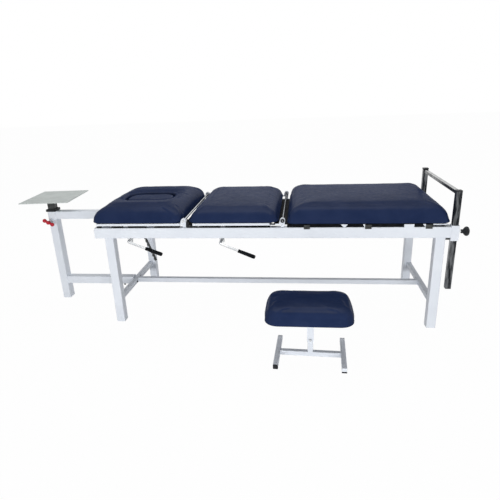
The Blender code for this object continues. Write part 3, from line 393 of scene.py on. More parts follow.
def new_finish(name):
    """A new material with its node tree, shader and place."""
    material = bpy.data.materials.new(name)
    material.use_nodes = True
    tree = material.node_tree
    place = add_node(tree, "ShaderNodeTexCoord").outputs["Object"]
    return material, tree, tree.nodes["Principled BSDF"], place


def coloured(tree, shader, place, colours, patch_scale):
    """Base colour that drifts between two close colours."""
    patches = remap(tree, noise_value(tree, place, patch_scale), 0, 1)
    tree.links.new(mix_colour(tree, patches, *colours), shader.inputs["Base Color"])


def roughened(tree, shader, place, low, high, scale, stretch=None):
    """Roughness that drifts between two values."""
    value = remap(tree, noise_value(tree, place, scale, 5.0, stretch), low, high)
    tree.links.new(value, shader.inputs["Roughness"])


def make_white_paint():
    """White powder coat: faintly blue, with an orange-peel surface and dull patches."""
    material, tree, shader, place = new_finish("white_powder_coat")
    looks = bpy.context.scene.traction_colours
    coloured(tree, shader, place, (looks.paint, looks.paint_shade), 7.0)
    roughened(tree, shader, place, 0.34, 0.48, 26.0)
    peel = bump(tree, noise_value(tree, place, 620.0, 2.0), 0.00006)
    dents = bump(tree, noise_value(tree, place, 34.0, 2.0), 0.0003, peel)
    tree.links.new(dents, shader.inputs["Normal"])
    shader.inputs["Specular IOR Level"].default_value = 0.3
    return material


def make_navy_vinyl():
    """Navy upholstery vinyl: fine leather grain, soft creases and a dull, bluish gloss."""
    material, tree, shader, place = new_finish("navy_upholstery_vinyl")
    looks = bpy.context.scene.traction_colours
    coloured(tree, shader, place, (looks.vinyl, looks.vinyl_shade), 9.0)
    roughened(tree, shader, place, 0.38, 0.5, 55.0)
    cells = add_node(tree, "ShaderNodeTexVoronoi", {"Vector": place, "Scale": 720.0},
                     feature="DISTANCE_TO_EDGE")
    grain = bump(tree, cells.outputs["Distance"], 0.00010)
    fine = bump(tree, noise_value(tree, place, 260.0, 4.0), 0.00008, grain)
    creases = bump(tree, noise_value(tree, place, 22.0, 3.0, (1.0, 2.2, 1.0)), 0.0011, fine)
    tree.links.new(creases, shader.inputs["Normal"])
    shader.inputs["Specular IOR Level"].default_value = 0.006
    shader.inputs["Specular Tint"].default_value = (*looks.vinyl_gloss, 1)
    shader.inputs["Coat Weight"].default_value = 0.05
    shader.inputs["Coat IOR"].default_value = 2.6
    shader.inputs["Coat Roughness"].default_value = 0.28
    tree.links.new(creases, shader.inputs["Coat Normal"])
    return material


def make_dark_chrome():
    """Dark polished chrome, clouded and streaked, with painted light that makes its upper faces brighter."""
    material, tree, shader, place = new_finish("dark_polished_chrome")
    looks = bpy.context.scene.traction_colours
    shader.inputs["Metallic"].default_value = 1.0
    clouds = remap(tree, noise_value(tree, place, 95.0, 4.0, (1.0, 0.5, 0.16)), 0, 1, 0.42, 0.64)
    clouded = mix_colour(tree, clouds, looks.chrome_dark, looks.chrome_light)
    # Painted light: faces that point upwards are mixed towards a brighter colour, as if lit from above.
    upright = add_node(tree, "ShaderNodeSeparateXYZ",
                       {"Vector": add_node(tree, "ShaderNodeTexCoord").outputs["Normal"]}).outputs["Z"]
    painted_top_light = remap(tree, upright, 0, 0.8, 0.5, 0.9)
    tree.links.new(mix_colour(tree, painted_top_light, clouded, looks.chrome_rubbed), shader.inputs["Base Color"])
    roughened(tree, shader, place, 0.14, 0.36, 60.0, (1.0, 0.5, 0.16))
    ripples = bump(tree, noise_value(tree, place, 70.0, 3.0, (1.0, 0.6, 0.2)), 0.0008)
    tree.links.new(ripples, shader.inputs["Normal"])
    return material


def make_bright_chrome():
    """Bright chrome plate with faint hazy streaks."""
    material, tree, shader, place = new_finish("bright_chrome_plate")
    shader.inputs["Metallic"].default_value = 1.0
    coloured(tree, shader, place, ((0.64, 0.66, 0.68), (0.80, 0.81, 0.82)), 30.0)
    shader.inputs["Specular Tint"].default_value = (0.03, 0.03, 0.035, 1)
    roughened(tree, shader, place, 0.08, 0.2, 80.0)
    ripples = bump(tree, noise_value(tree, place, 110.0, 2.0), 0.0002)
    tree.links.new(ripples, shader.inputs["Normal"])
    return material


PLAIN_FINISHES = {
    "black_plastic": ("moulded_black_plastic", ((0.010, 0.011, 0.013), (0.022, 0.024, 0.027)), 40.0,
                      (0.4, 0.56, 90.0), (900.0, 2.0, 0.00008), 0.2, 0.0),
    "black_rubber": ("dull_black_rubber", ((0.004, 0.0045, 0.0055), (0.010, 0.011, 0.013)), 55.0,
                     (0.6, 0.8, 80.0), (500.0, 3.0, 0.00012), 0.05, 0.0),
    "black_steel": ("black_satin_enamel", ((0.022, 0.024, 0.024), (0.07, 0.073, 0.072)), 60.0,
                    (0.32, 0.5, 45.0), (420.0, 3.0, 0.0001), 0.35, 0.3),
    "red_plastic": ("glossy_red_moulding", ((0.4, 0.012, 0.025), (0.52, 0.02, 0.035)), 70.0,
                    (0.26, 0.4, 120.0), (300.0, 2.0, 0.00008), 0.3, 0.0),
    "plate_paint": ("grey_green_enamel", ("plate", "plate_shade"), 14.0,
                    (0.4, 0.52, 50.0), (340.0, 3.0, 0.00014), 0.2, 0.0),
}


def make_plain_finish(look):
    """Plastic, rubber, enamel or plate paint, from its colours, roughness, grain, gloss and metal."""
    name, colours, patch_scale, roughness, (grain_scale, detail, depth), gloss, metal = PLAIN_FINISHES[look]
    material, tree, shader, place = new_finish(name)
    looks = bpy.context.scene.traction_colours
    colours = [getattr(looks, one) if isinstance(one, str) else one for one in colours]
    coloured(tree, shader, place, colours, patch_scale)
    roughened(tree, shader, place, *roughness)
    grain = bump(tree, noise_value(tree, place, grain_scale, detail), depth)
    tree.links.new(grain, shader.inputs["Normal"])
    shader.inputs["Specular IOR Level"].default_value = gloss
    shader.inputs["Metallic"].default_value = metal
    return material


SPECIAL_FINISHES = {
    "white_paint": make_white_paint,
    "navy_vinyl": make_navy_vinyl,
    "dark_chrome": make_dark_chrome,
    "bright_chrome": make_bright_chrome,
}
made_finishes = {}


def finish(look):
    """The material of a look, made once."""
    if look not in made_finishes:
        special = SPECIAL_FINISHES.get(look)
        made_finishes[look] = special() if special else make_plain_finish(look)
    return made_finishes[look]


# Settings


def length_property(name, description, default, low, high):
    """A length that the user may change."""
    return bpy.props.FloatProperty(name=name, description=description, default=default,
                                   min=low, max=high, unit="LENGTH")


def colour_property(name, description, default):
    """A colour that the user may change."""
    return bpy.props.FloatVectorProperty(name=name, description=description, default=default,
                                         min=0, max=1, subtype="COLOR")


class TractionSizes(bpy.types.PropertyGroup):
    """Sizes that the CAD frame leaves open."""

    tube_corner: length_property("Tube corner", "Radius of the long edges of the frame's square tubes",
                                 0.0038, 0.0005, 0.008)
    rail_cap: length_property("Rail cap", "Length of the caps on the rails' head ends", 0.007, 0.002, 0.012)
    plate_edge: length_property("Plate edge", "Radius of the edges of plates and bars",
                                0.0009, 0.0002, 0.003)
    weld_radius: length_property("Weld radius", "Radius of the weld beads between tubes",
                                 0.0022, 0.0005, 0.006)
    pad_voxel: length_property("Cushion mesh size", "Voxel size of the cushions before they are inflated",
                               0.006, 0.004, 0.01)


class TractionColours(bpy.types.PropertyGroup):
    """Colours of the large surfaces."""

    paint: colour_property("Frame paint", "White powder coat of the frame", (0.80, 0.84, 0.90))
    paint_shade: colour_property("Frame paint, shaded", "Slightly greyer patches of the powder coat",
                                 (0.76, 0.80, 0.865))
    vinyl: colour_property("Vinyl", "Navy vinyl of the cushions", (0.007, 0.0175, 0.062))
    vinyl_gloss: colour_property("Vinyl gloss", "Tint of the vinyl's straight reflections",
                                 (0.45, 0.62, 1.0))
    vinyl_shade: colour_property("Vinyl, lighter", "Slightly lighter patches of the vinyl",
                                 (0.012, 0.024, 0.074))
    plate: colour_property("Plate", "Enamel of the machine plate", (0.60, 0.645, 0.63))
    plate_shade: colour_property("Plate, darker", "Slightly darker patches of the plate's enamel",
                                 (0.53, 0.575, 0.56))
    chrome_dark: colour_property("Dark chrome", "Darkest clouds of the bow's chrome", (0.014, 0.016, 0.019))
    chrome_light: colour_property("Dark chrome, lighter", "Lightest clouds of the bow's chrome",
                                  (0.15, 0.158, 0.166))
    # Painted light: the brighter colour of the chrome's upward faces, as if lit from above.
    chrome_rubbed: colour_property("Dark chrome, rubbed", "Upper faces of the bow's chrome",
                                   (0.38, 0.385, 0.38))


# Frame tubes


def square_bar(name, low, high, axis, corner, end_edge=0.0006):
    """A square bar with round long edges and slightly softened ends."""
    obj = block(name, low, high)
    choose(obj, "EDGE", lambda edge: runs_along(edge, axis))
    bevel_chosen(corner, 5)
    bevel_sharp(obj, end_edge, 2, 60)
    return smooth_by_angle(obj)


def open_tube(name, low, high, axis, corner, wall, depth):
    """A square tube whose two ends are open as far as a depth."""
    obj = block(name, low, high)
    choose(obj, "EDGE", lambda edge: runs_along(edge, axis))
    bevel_chosen(corner, 5)
    for sign in (-1, 1):
        sink(obj, sign * AXES[axis], wall, depth)
    return smooth_by_angle(obj)


LIKE_TUBES = (
    (("front_rail", "rear_rail"), X),
    (("left_end_tube", "right_end_tube"), Y),
    (("front_left_leg", "front_right_leg", "rear_left_leg", "rear_right_leg"), Z),
    (("left_crossbar", "right_crossbar"), Y),
    (("stretcher",), X),
    (("stand_upper_arm",), X),
    (("stand_lower_arm",), X),
)
POST_DEPTH = 0.060
BOSS_RADIUS = 0.012
BOSS_HOLE = 0.006
BOSS_DEPTH = 0.008
BOSS_OVERLAP = 0.002
CAP_ROUNDING = 0.93
CAP_EDGE = 0.0016


class TRACTION_OT_frame_tubes(bpy.types.Operator):
    """Add the frame's welded tubes with round edges, and the rails' end caps"""
    bl_idname = "traction.frame_tubes"
    bl_label = "Frame tubes"

    def execute(self, context):
        sizes = context.scene.traction_sizes
        for nodes, axis in LIKE_TUBES:
            low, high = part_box(nodes[0])
            tube = square_bar(nodes[0] + "_tube", low, high, axis, sizes.tube_corner)
            others = [repeated(tube, node + "_tube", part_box(node)[0] - low) for node in nodes[1:]]
            for obj, node in zip([tube] + others, nodes):
                dress(obj, node)
        self.add_post(sizes.tube_corner)
        self.add_rail_caps(sizes.rail_cap, sizes.tube_corner)
        return {"FINISHED"}

    def add_post(self, corner):
        """The stand's post with the round boss of its clamp screw."""
        low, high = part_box("stand_post")
        clamp = JOINTS["clamp_turn"]["pos_m"]
        face = high.y - POST_DEPTH
        post = square_bar("stand_post_body", (low.x, face, low.z), high, Z, corner)
        boss = round_bar("clamp_boss", (clamp[0], low.y, clamp[2]), (clamp[0], face + BOSS_OVERLAP, clamp[2]),
                         BOSS_RADIUS)
        sink(boss, (0, -1, 0), BOSS_RADIUS - BOSS_HOLE, BOSS_DEPTH)
        bevel_sharp(boss, FITTING_EDGE, 2)
        dress(joined("stand_post_tube", [post, smooth_by_angle(boss)]), "stand_post")

    def add_rail_caps(self, length, corner):
        """The caps on the rails' head ends, rounded over at the top."""
        cap = block("front_rail_cap", (RAIL_LOW.x - length, RAIL_LOW.y, RAIL_LOW.z),
                    (RAIL_LOW.x - GAP, RAIL_HIGH.y, RAIL_HIGH.z))
        choose(cap, "EDGE", lambda edge: runs_along(edge, Y)
               and edge.verts[0].co.x < RAIL_LOW.x - length / 2 and edge.verts[0].co.z > RAIL_HIGH.z - corner)
        bevel_chosen(length * CAP_ROUNDING, 6)
        choose(cap, "EDGE", lambda edge: runs_along(edge, X))
        bevel_chosen(corner, 4)
        choose(cap, "EDGE", lambda edge: edge.calc_face_angle(0) > 0.7
               and max(vertex.co.x for vertex in edge.verts) < RAIL_LOW.x - length * 0.6)
        bevel_chosen(CAP_EDGE, 2)
        smooth_by_angle(cap)
        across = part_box("rear_rail")[0] - RAIL_LOW
        dress_pair(cap, "rear_rail_cap", ("front_rail", "front_rail"), across, replaces=False)


BEAD_SPREAD = 0.45
BEAD_CORNER = 0.004
WELDED_ENDS = (
    ("left_crossbar", Y, (0, 1)), ("right_crossbar", Y, (0, 1)), ("stretcher", X, (0, 1)),
    ("stand_upper_arm", X, (0,)), ("stand_lower_arm", X, (0, 1)), ("front_left_leg", Z, (1,)),
    ("front_right_leg", Z, (1,)), ("rear_left_leg", Z, (1,)), ("rear_right_leg", Z, (1,)),
    ("left_end_tube", Y, (0, 1)), ("right_end_tube", Y, (0, 1)),
)


class TRACTION_OT_welds(bpy.types.Operator):
    """Add the weld beads between the frame's tubes"""
    bl_idname = "traction.welds"
    bl_label = "Welds"

    def execute(self, context):
        radius = context.scene.traction_sizes.weld_radius
        beads = []
        for node, axis, ends in WELDED_ENDS:
            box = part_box(node)
            first = self.bead(node, box, axis, box[ends[0]][axis], radius)
            beads.append(first)
            if len(ends) > 1:
                beads.append(repeated(first, "bead_" + node, AXES[axis] * (box[1][axis] - box[0][axis])))
        dress(joined("frame_welds", beads), "front_rail", replaces=False)
        return {"FINISHED"}

    def bead(self, node, box, axis, place, radius):
        """A bead around the end of one tube, as a thin ring with round corners."""
        low, high = (corner.copy() for corner in box)
        low[axis] = high[axis] = place
        low[axis] -= radius
        high[axis] += radius
        grown = Vector([0 if one == axis else radius * BEAD_SPREAD for one in (X, Y, Z)])
        ring = block("bead_" + node, low - grown, high + grown)
        choose(ring, "EDGE", lambda edge: runs_along(edge, axis))
        bevel_chosen(BEAD_CORNER, 4)
        choose(ring, "FACE", lambda face: abs(face.normal.dot(AXES[axis])) > 0.99)
        bpy.ops.mesh.delete(type="FACE")
        stop_editing()
        apply_modifier(ring, "SOLIDIFY", thickness=radius, offset=-1)
        bevel_sharp(ring, radius * BEAD_SPREAD, 2)
        return smooth_by_angle(ring)


# Machine stand


WING_LOBE = 0.0125
WING_ARM = 0.0084
WING_HUB = 0.0110
WING_THICKNESS = 0.010
WING_VOXEL = 0.0007
WING_SHRINK = 0.0004
SCREW_RADIUS = 0.0049
SCREW_COLLAR = (0.013, 0.018, 0.0085)
COLLAR_EDGE = 0.0022
COLUMN_CORNER = 0.003


class TRACTION_OT_machine_stand(bpy.types.Operator):
    """Add the stand's collar, column, plate and clamp screw"""
    bl_idname = "traction.machine_stand"
    bl_label = "Machine stand"

    def execute(self, context):
        sizes = context.scene.traction_sizes
        dress(softened("stand_collar", "post_collar", COLLAR_EDGE), "stand_collar")
        low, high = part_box("stand_column")
        dress(square_bar("column_tube", low, high, Z, COLUMN_CORNER), "stand_column")
        dress(softened("machine_plate", "machine_table", sizes.plate_edge), "machine_plate")
        self.add_wing()
        return {"FINISHED"}

    def add_wing(self):
        """The red two-armed wing, moulded in one, and the bright screw behind it."""
        clamp = Vector(JOINTS["clamp_turn"]["pos_m"])
        low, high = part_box("clamp_wing")
        spread = Vector(((high.x - low.x) / 2 - WING_LOBE, 0, -(high.z - low.z) / 2 + WING_LOBE))
        depth = Vector((0, WING_THICKNESS / 2, 0))
        parts = [round_bar("hub", clamp - depth * 2, clamp + depth * 2, WING_HUB, 32)]
        for sign in (-1, 1):
            lobe = clamp + spread * sign
            parts.append(round_bar("lobe", lobe - depth, lobe + depth, WING_LOBE - WING_SHRINK, 32))
            parts.append(round_bar("arm", clamp, lobe, WING_ARM, 24))
        wing = joined("clamp_wing_moulding", parts)
        apply_modifier(wing, "REMESH", mode="VOXEL", voxel_size=WING_VOXEL)
        apply_modifier(wing, "SMOOTH", factor=0.7, iterations=9)
        make_active(wing)
        bpy.ops.object.shade_smooth()
        dress(wing, "clamp_wing")
        screw = round_bar("clamp_screw", clamp + depth, (clamp.x, high.y, clamp.z), SCREW_RADIUS, 28)
        start, end, radius = SCREW_COLLAR
        collar = round_bar("screw_collar", clamp + AXES[Y] * start, clamp + AXES[Y] * end, radius, 32)
        bevel_sharp(collar, FITTING_EDGE, 2)
        fittings = joined("clamp_screw_stem", [screw, collar])
        smooth_by_angle(fittings)
        dress(fittings, "clamp_wing", replaces=False, slot="bright_chrome")


# Foot-end bow


BOW_WALL = 0.002
BOW_HOLLOW = 0.04
CAP_PLUG = (0.0004, 0.02)
CAP_RIM = 0.0018
CROSSBAR_CORNER = 0.0024
BOW_CORNER = 0.003
BOW_CAPS = {"front": (0.0004, 0.004), "rear": (0.0018, 0.009)}
KNOB_PROFILE = ((0.0, 0.0095), (0.0035, 0.0110), (0.0085, 0.0165), (0.0130, 0.0215), (0.0175, 0.0243),
                (0.0220, 0.0250), (0.0262, 0.0240), (0.0298, 0.0208), (0.0324, 0.0155), (0.0338, 0.0090),
                (0.0342, 0.0030))
KNOB_WIDEST = max(size for _, size in KNOB_PROFILE)
KNOB_STEM = 0.006
KNOB_NECK = (0.007, 0.0105, 0.0015)
KNOB_FLUTES = 9
FLUTE_RADIUS = 0.0115
FLUTE_DEPTH = 0.0012
FLUTE_OVERRUN = 0.01


class TRACTION_OT_foot_bow(bpy.types.Operator):
    """Add the bow's posts, crossbar and caps, its sleeves and its knob"""
    bl_idname = "traction.foot_bow"
    bl_label = "Foot bow"

    def execute(self, context):
        for side in BOW_CAPS:
            low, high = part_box(f"bow_{side}_post")
            post = open_tube(f"bow_{side}_tube", low, high, Z, BOW_CORNER, BOW_WALL, BOW_HOLLOW)
            dress(post, f"bow_{side}_post")
            self.add_cap(side, low, high, *BOW_CAPS[side])
        socket = softened("front_sleeve", "front_socket", BLOCK_EDGE)
        dress_pair(socket, "rear_socket", ("front_sleeve", "rear_sleeve"))
        low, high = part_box("bow_crossbar")
        dress(square_bar("bow_crossbar_tube", low, high, Y, CROSSBAR_CORNER), "bow_crossbar")
        self.add_knob()
        return {"FINISHED"}

    def add_cap(self, side, low, high, lip, height):
        """The black cap that closes the top of a post."""
        play, depth = CAP_PLUG
        inside = BOW_WALL + play
        stub = block("cap_plug", (low.x + inside, low.y + inside, high.z - depth),
                     (high.x - inside, high.y - inside, high.z))
        cap = block(f"bow_{side}_cap", (low.x - lip, low.y - lip, high.z + GAP),
                    (high.x + lip, high.y + lip, high.z + height))
        choose(cap, "EDGE", lambda edge: runs_along(edge, Z))
        bevel_chosen(BOW_CORNER, 4)
        bevel_sharp(cap, min(CAP_RIM, height * 0.4), 3)
        cap = joined(f"bow_{side}_cap", [cap, stub])
        dress(smooth_by_angle(cap), f"bow_{side}_post", replaces=False, slot="black_plastic")

    def add_knob(self):
        """The clamp knob: a moulded head, flaring from its neck, with shallow flutes, and its stem."""
        low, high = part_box("bow_knob")
        centre = Vector(JOINTS["knob_turn"]["pos_m"])
        radius = high.z - centre.z
        fit = (high.x - centre.x) / KNOB_PROFILE[-1][0]
        head = turned("knob_head", centre, AXES[X],
                      [(place * fit, size * radius / KNOB_WIDEST) for place, size in KNOB_PROFILE], 72)
        groove = centre.y + radius + FLUTE_RADIUS - FLUTE_DEPTH
        flute = round_bar("flute", (low.x, groove, centre.z), (high.x + FLUTE_OVERRUN, groove, centre.z),
                          FLUTE_RADIUS, 32)
        flutes = [flute]
        for number in range(1, KNOB_FLUTES):
            copy = repeated(flute, "flute", (0, 0, 0))
            flutes.append(swung(copy, centre, 2 * math.pi * number / KNOB_FLUTES, X))
        cutter = joined("flutes", flutes)
        apply_modifier(head, "BOOLEAN", operation="DIFFERENCE", solver="EXACT", object=cutter)
        bpy.data.objects.remove(cutter)
        stem = round_bar("knob_stem", (low.x, centre.y, centre.z), centre + AXES[X] * 0.002, KNOB_STEM)
        length, neck_radius, neck_edge = KNOB_NECK
        neck = round_bar("knob_neck", centre - AXES[X] * length, centre + AXES[X] * 0.001, neck_radius)
        bevel_sharp(neck, neck_edge, 3)
        knob = joined("bow_knob_moulding", [head, neck])
        dress(smooth_by_angle(knob), "bow_knob")
        dress(smooth_by_angle(stem), "bow_knob", replaces=False, slot="bright_chrome")


# Hinges, stops and section frames


EYE_RADIUS = 0.014
LUG_FOOT = 0.019
LUG_ARC = (-25, 205)
LUG_STEPS = 20
PIN_HEADS = {"head": (0.0068, 0.0022, "bright_chrome"), "mid": (0.0112, 0.0030, "black_plastic")}
PIN_CENTRE = (0.0022, 0.0006)
PIN_SUNK = (0.0005, 0.001)
PIN_EDGES = (0.0009, 0.0003)


class TRACTION_OT_hinges(bpy.types.Operator):
    """Add the hinge plates, rods and pins, the stops and the frames under the cushions"""
    bl_idname = "traction.hinges"
    bl_label = "Hinges and section frames"

    def execute(self, context):
        edge = context.scene.traction_sizes.plate_edge
        for section in ("head", "mid"):
            dress(softened(f"{section}_frame", f"{section}_section_frame", edge), f"{section}_frame")
            low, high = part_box(f"{section}_hinge_rod")
            middle = (low + high) / 2
            rod = cross_bar(f"{section}_hinge_bar", middle, low.y, high.y, (high.z - low.z) / 2)
            dress(smooth_by_angle(bevel_sharp(rod, BLOCK_EDGE, 3)), f"{section}_hinge_rod")
            self.add_lugs(section, middle, edge)
            stops = (f"{section}_stop_front", f"{section}_stop_rear")
            stop = softened(stops[0], f"{section}_rest_block_front", BLOCK_EDGE)
            dress_pair(stop, f"{section}_rest_block_rear", stops)
            self.add_pins(section, low, high, middle)
        return {"FINISHED"}

    def add_lugs(self, section, eye, edge):
        """The plates that carry a hinge rod: a round eye that narrows to a foot on the rail."""
        nodes = (f"{section}_hinge_lug_front", f"{section}_hinge_lug_rear")
        low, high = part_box(nodes[0])
        half = LUG_FOOT / 2
        outline = [(eye.x + half, low.z)]
        start, end = LUG_ARC
        for step in range(LUG_STEPS + 1):
            angle = math.radians(start + (end - start) * step / LUG_STEPS)
            outline.append((eye.x + EYE_RADIUS * math.cos(angle), eye.z + EYE_RADIUS * math.sin(angle)))
        outline.append((eye.x - half, low.z))
        lug = plate(f"{section}_hinge_plate_front", outline, low.y, high.y)
        smooth_by_angle(bevel_sharp(lug, edge, 3))
        dress_pair(lug, f"{section}_hinge_plate_rear", nodes)

    def add_pins(self, section, low, high, middle):
        """The screw heads in the two ends of a hinge rod, with their grey centres."""
        heads, centres = [], []
        pin_radius, depth, slot = PIN_HEADS[section]
        radius, proud = PIN_CENTRE
        for place, sign in ((low.y, -1), (high.y, 1)):
            head = cross_bar("pin_head", middle, place - sign * PIN_SUNK[0], place + sign * depth,
                             pin_radius, 32)
            heads.append(smooth_by_angle(bevel_sharp(head, PIN_EDGES[0], 3)))
            centre = cross_bar("pin_centre", middle, place + sign * (depth - PIN_SUNK[1]),
                               place + sign * (depth + proud), radius, 20)
            centres.append(smooth_by_angle(bevel_sharp(centre, PIN_EDGES[1], 2)))
        node = f"{section}_hinge_rod"
        dress(joined(f"{section}_hinge_screws", heads), node, replaces=False, slot=slot)
        dress(joined(f"{section}_hinge_screw_centres", centres), node, replaces=False)


# Levers and notched bars


ROD_RADIUS = 0.006
ROD_BEND = 0.014
ROD_END = 0.176
BEND_STEPS = 12
NOTCH_EDGE = 0.0004
GRIP_START = 0.106
GRIP_PROFILE = ((0, 0.0088), (0.002, 0.0098), (0.010, 0.0098), (0.0115, 0.0090), (0.014, 0.0090),
                (0.0155, 0.0098), (0.030, 0.0100), (0.070, 0.0106), (0.086, 0.011), (0.094, 0.0106),
                (0.098, 0.0088), (0.0995, 0.0052), (0.100, 0.0010))


class TRACTION_OT_levers(bpy.types.Operator):
    """Add the release levers, their bushes and the notched bars"""
    bl_idname = "traction.levers"
    bl_label = "Levers and notched bars"

    def execute(self, context):
        edge = context.scene.traction_sizes.plate_edge
        grip = turned("lever_handle", (0, 0, 0), AXES[X],
                      [(GRIP_START + place, size) for place, size in GRIP_PROFILE], 40)
        for section, joint in (("head", "head_lever_lift"), ("mid", "middle_lever_lift")):
            bush = softened(f"{section}_lever_bush", f"{section}_lever_block", edge)
            dress(bush, f"{section}_lever_bush", slot="bright_chrome")
            dress(softened(f"{section}_stay", f"{section}_notched_bar", NOTCH_EDGE), f"{section}_stay")
            pivot = Vector(JOINTS[joint]["pos_m"])
            low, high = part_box(f"{section}_lever_grip")
            reach = (low + high) / 2 - pivot
            drop = math.atan2(-reach.z, reach.x)
            self.add_rod(section, pivot, Vector((math.cos(drop), 0, -math.sin(drop))))
            handle = swung(repeated(grip, f"{section}_lever_handle", pivot), pivot, drop, Y)
            dress(smooth_by_angle(handle), f"{section}_lever_grip", look="black_rubber")
        bpy.data.objects.remove(grip)
        return {"FINISHED"}

    def add_rod(self, section, pivot, along):
        """A bent bright rod."""
        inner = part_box(f"{section}_lever_rod")[1].y
        points = [Vector((pivot.x, inner, pivot.z))]
        for step in range(BEND_STEPS + 1):
            angle = math.pi / 2 * step / BEND_STEPS
            points.append(pivot + Vector((0, ROD_BEND * (1 - math.sin(angle)), 0))
                          + along * ROD_BEND * (1 - math.cos(angle)))
        points.append(pivot + along * ROD_END)
        curve = bpy.data.curves.new(f"{section}_lever_bar", "CURVE")
        curve.dimensions = "3D"
        curve.bevel_depth = ROD_RADIUS
        curve.bevel_resolution = 6
        curve.use_fill_caps = True
        line = curve.splines.new("POLY")
        line.points.add(len(points) - 1)
        for target, point in zip(line.points, points):
            target.co = (*point, 1)
        rod = bpy.data.objects.new(curve.name, curve)
        bpy.context.scene.collection.objects.link(rod)
        make_active(rod)
        bpy.ops.object.convert(target="MESH")
        rod = named(f"{section}_lever_bar")
        dress(smooth_by_angle(merge_doubles(rod)), f"{section}_lever_rod")


# Leg section


ROLLER_BORE = 0.0034
ROLLER_HOLLOW = 0.003
BRACKET_EDGE = 0.0003
# Painted shade: the black skirts and the black sheet stand for the shade under the leg cushion.
SHADE_SKIRT = ((1.082, 1.834), (-0.3435, -0.3405), (0.590, 0.6050))
END_STRIP = ((1.8345, 1.905), (-0.3435, -0.3405), (0.600, 0.6050))
BRACKETS = (
    ((1.365, 0.6050), (1.401, 0.6050), (1.389, 0.5895), (1.378, 0.5895)),
    ((1.478, 0.6050), (1.4900, 0.6050), (1.4900, 0.5890), (1.487, 0.5900)),
    ((1.781, 0.6050), (1.7965, 0.6050), (1.7965, 0.5890), (1.794, 0.5900)),
)
BRACKET_DEPTH = (-0.3463, -0.3443)
LEG_GAP_SHADE_SHEET = ((1.008, 1.1055), (-0.300, 0.300), (0.592, 0.594))


class TRACTION_OT_leg_carriage(bpy.types.Operator):
    """Add the rolling frame of the leg section, its rollers, its skirts of painted shade and its brackets"""
    bl_idname = "traction.leg_carriage"
    bl_label = "Leg carriage"

    def execute(self, context):
        edge = context.scene.traction_sizes.plate_edge
        dress(softened("leg_carriage", "leg_rolling_frame", edge), "leg_carriage")
        self.add_rollers()
        self.add_skirts()
        return {"FINISHED"}

    def add_rollers(self):
        """One roller with a hollow on either side, and its copies."""
        first, *others = [f"{side}_roller_{number}" for side, _ in SIDES for number in (1, 2, 3)]
        low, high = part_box(first)
        middle = (low + high) / 2
        radius = (high.z - low.z) / 2
        roller = cross_bar(first + "_wheel", middle, low.y, high.y, radius)
        for direction in (-1, 1):
            sink(roller, (0, direction, 0), radius - ROLLER_BORE, ROLLER_HOLLOW)
        bevel_sharp(roller, FITTING_EDGE, 2, 60)
        smooth_by_angle(roller)
        for node in others:
            dress(repeated(roller, node + "_wheel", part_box(node)[0] - low), node)
        dress(roller, first)

    def add_skirts(self):
        """Black skirts of painted shade that close the gap over the rails, their light ends and the small
        brackets.
        """
        for side, sign in SIDES:
            # Painted shade: a black skirt along the gap under the leg cushion.
            self.add_strip(f"leg_{side}_shade_skirt", SHADE_SKIRT, sign, "black_plastic")
            self.add_strip(f"leg_{side}_end_strip", END_STRIP, sign, "white_paint")
            brackets = []
            for outline in BRACKETS:
                points = [(RAIL_LOW.x + x, z) for x, z in outline]
                inner, outer = sorted(CENTRE_LINE - sign * depth for depth in BRACKET_DEPTH)
                bracket = bevel_sharp(plate("bracket", points, inner, outer), BRACKET_EDGE, 2)
                brackets.append(smooth_by_angle(bracket))
            dress(joined(f"leg_{side}_brackets", brackets), "leg_carriage",
                  replaces=False, slot="white_paint")
        # Painted shade: a black sheet under the gap between the middle and leg cushions.
        self.add_strip("leg_gap_shade_sheet", LEG_GAP_SHADE_SHEET, -1, "black_plastic")

    def add_strip(self, name, spans, sign, slot):
        """A thin strip that travels with the leg section, on one side of the table."""
        (start, end), across, (bottom, top) = spans
        inner, outer = sorted(-sign * place for place in across)
        strip = soft_block(name, on_table(start, inner, bottom), on_table(end, outer, top))
        dress(strip, "leg_carriage", replaces=False, slot=slot,
              look="black_rubber" if slot == "black_plastic" else None)


# Leg stool frame


FOOT_CORNER = 0.0026
POST_HALF = 0.0135
SLEEVE_EDGE = 0.0011
PLUG_LENGTH = 0.003
PLUG_EDGE = 0.0009
FOOT_PAD = (0.0024, 0.0002, 0.007)
PIN_HEIGHT = 0.098
SEAT_PIN = (0.006, 0.004, 0.0036)
SEAT_PIN_HEAD = (0.009, 0.003, 0.0060)


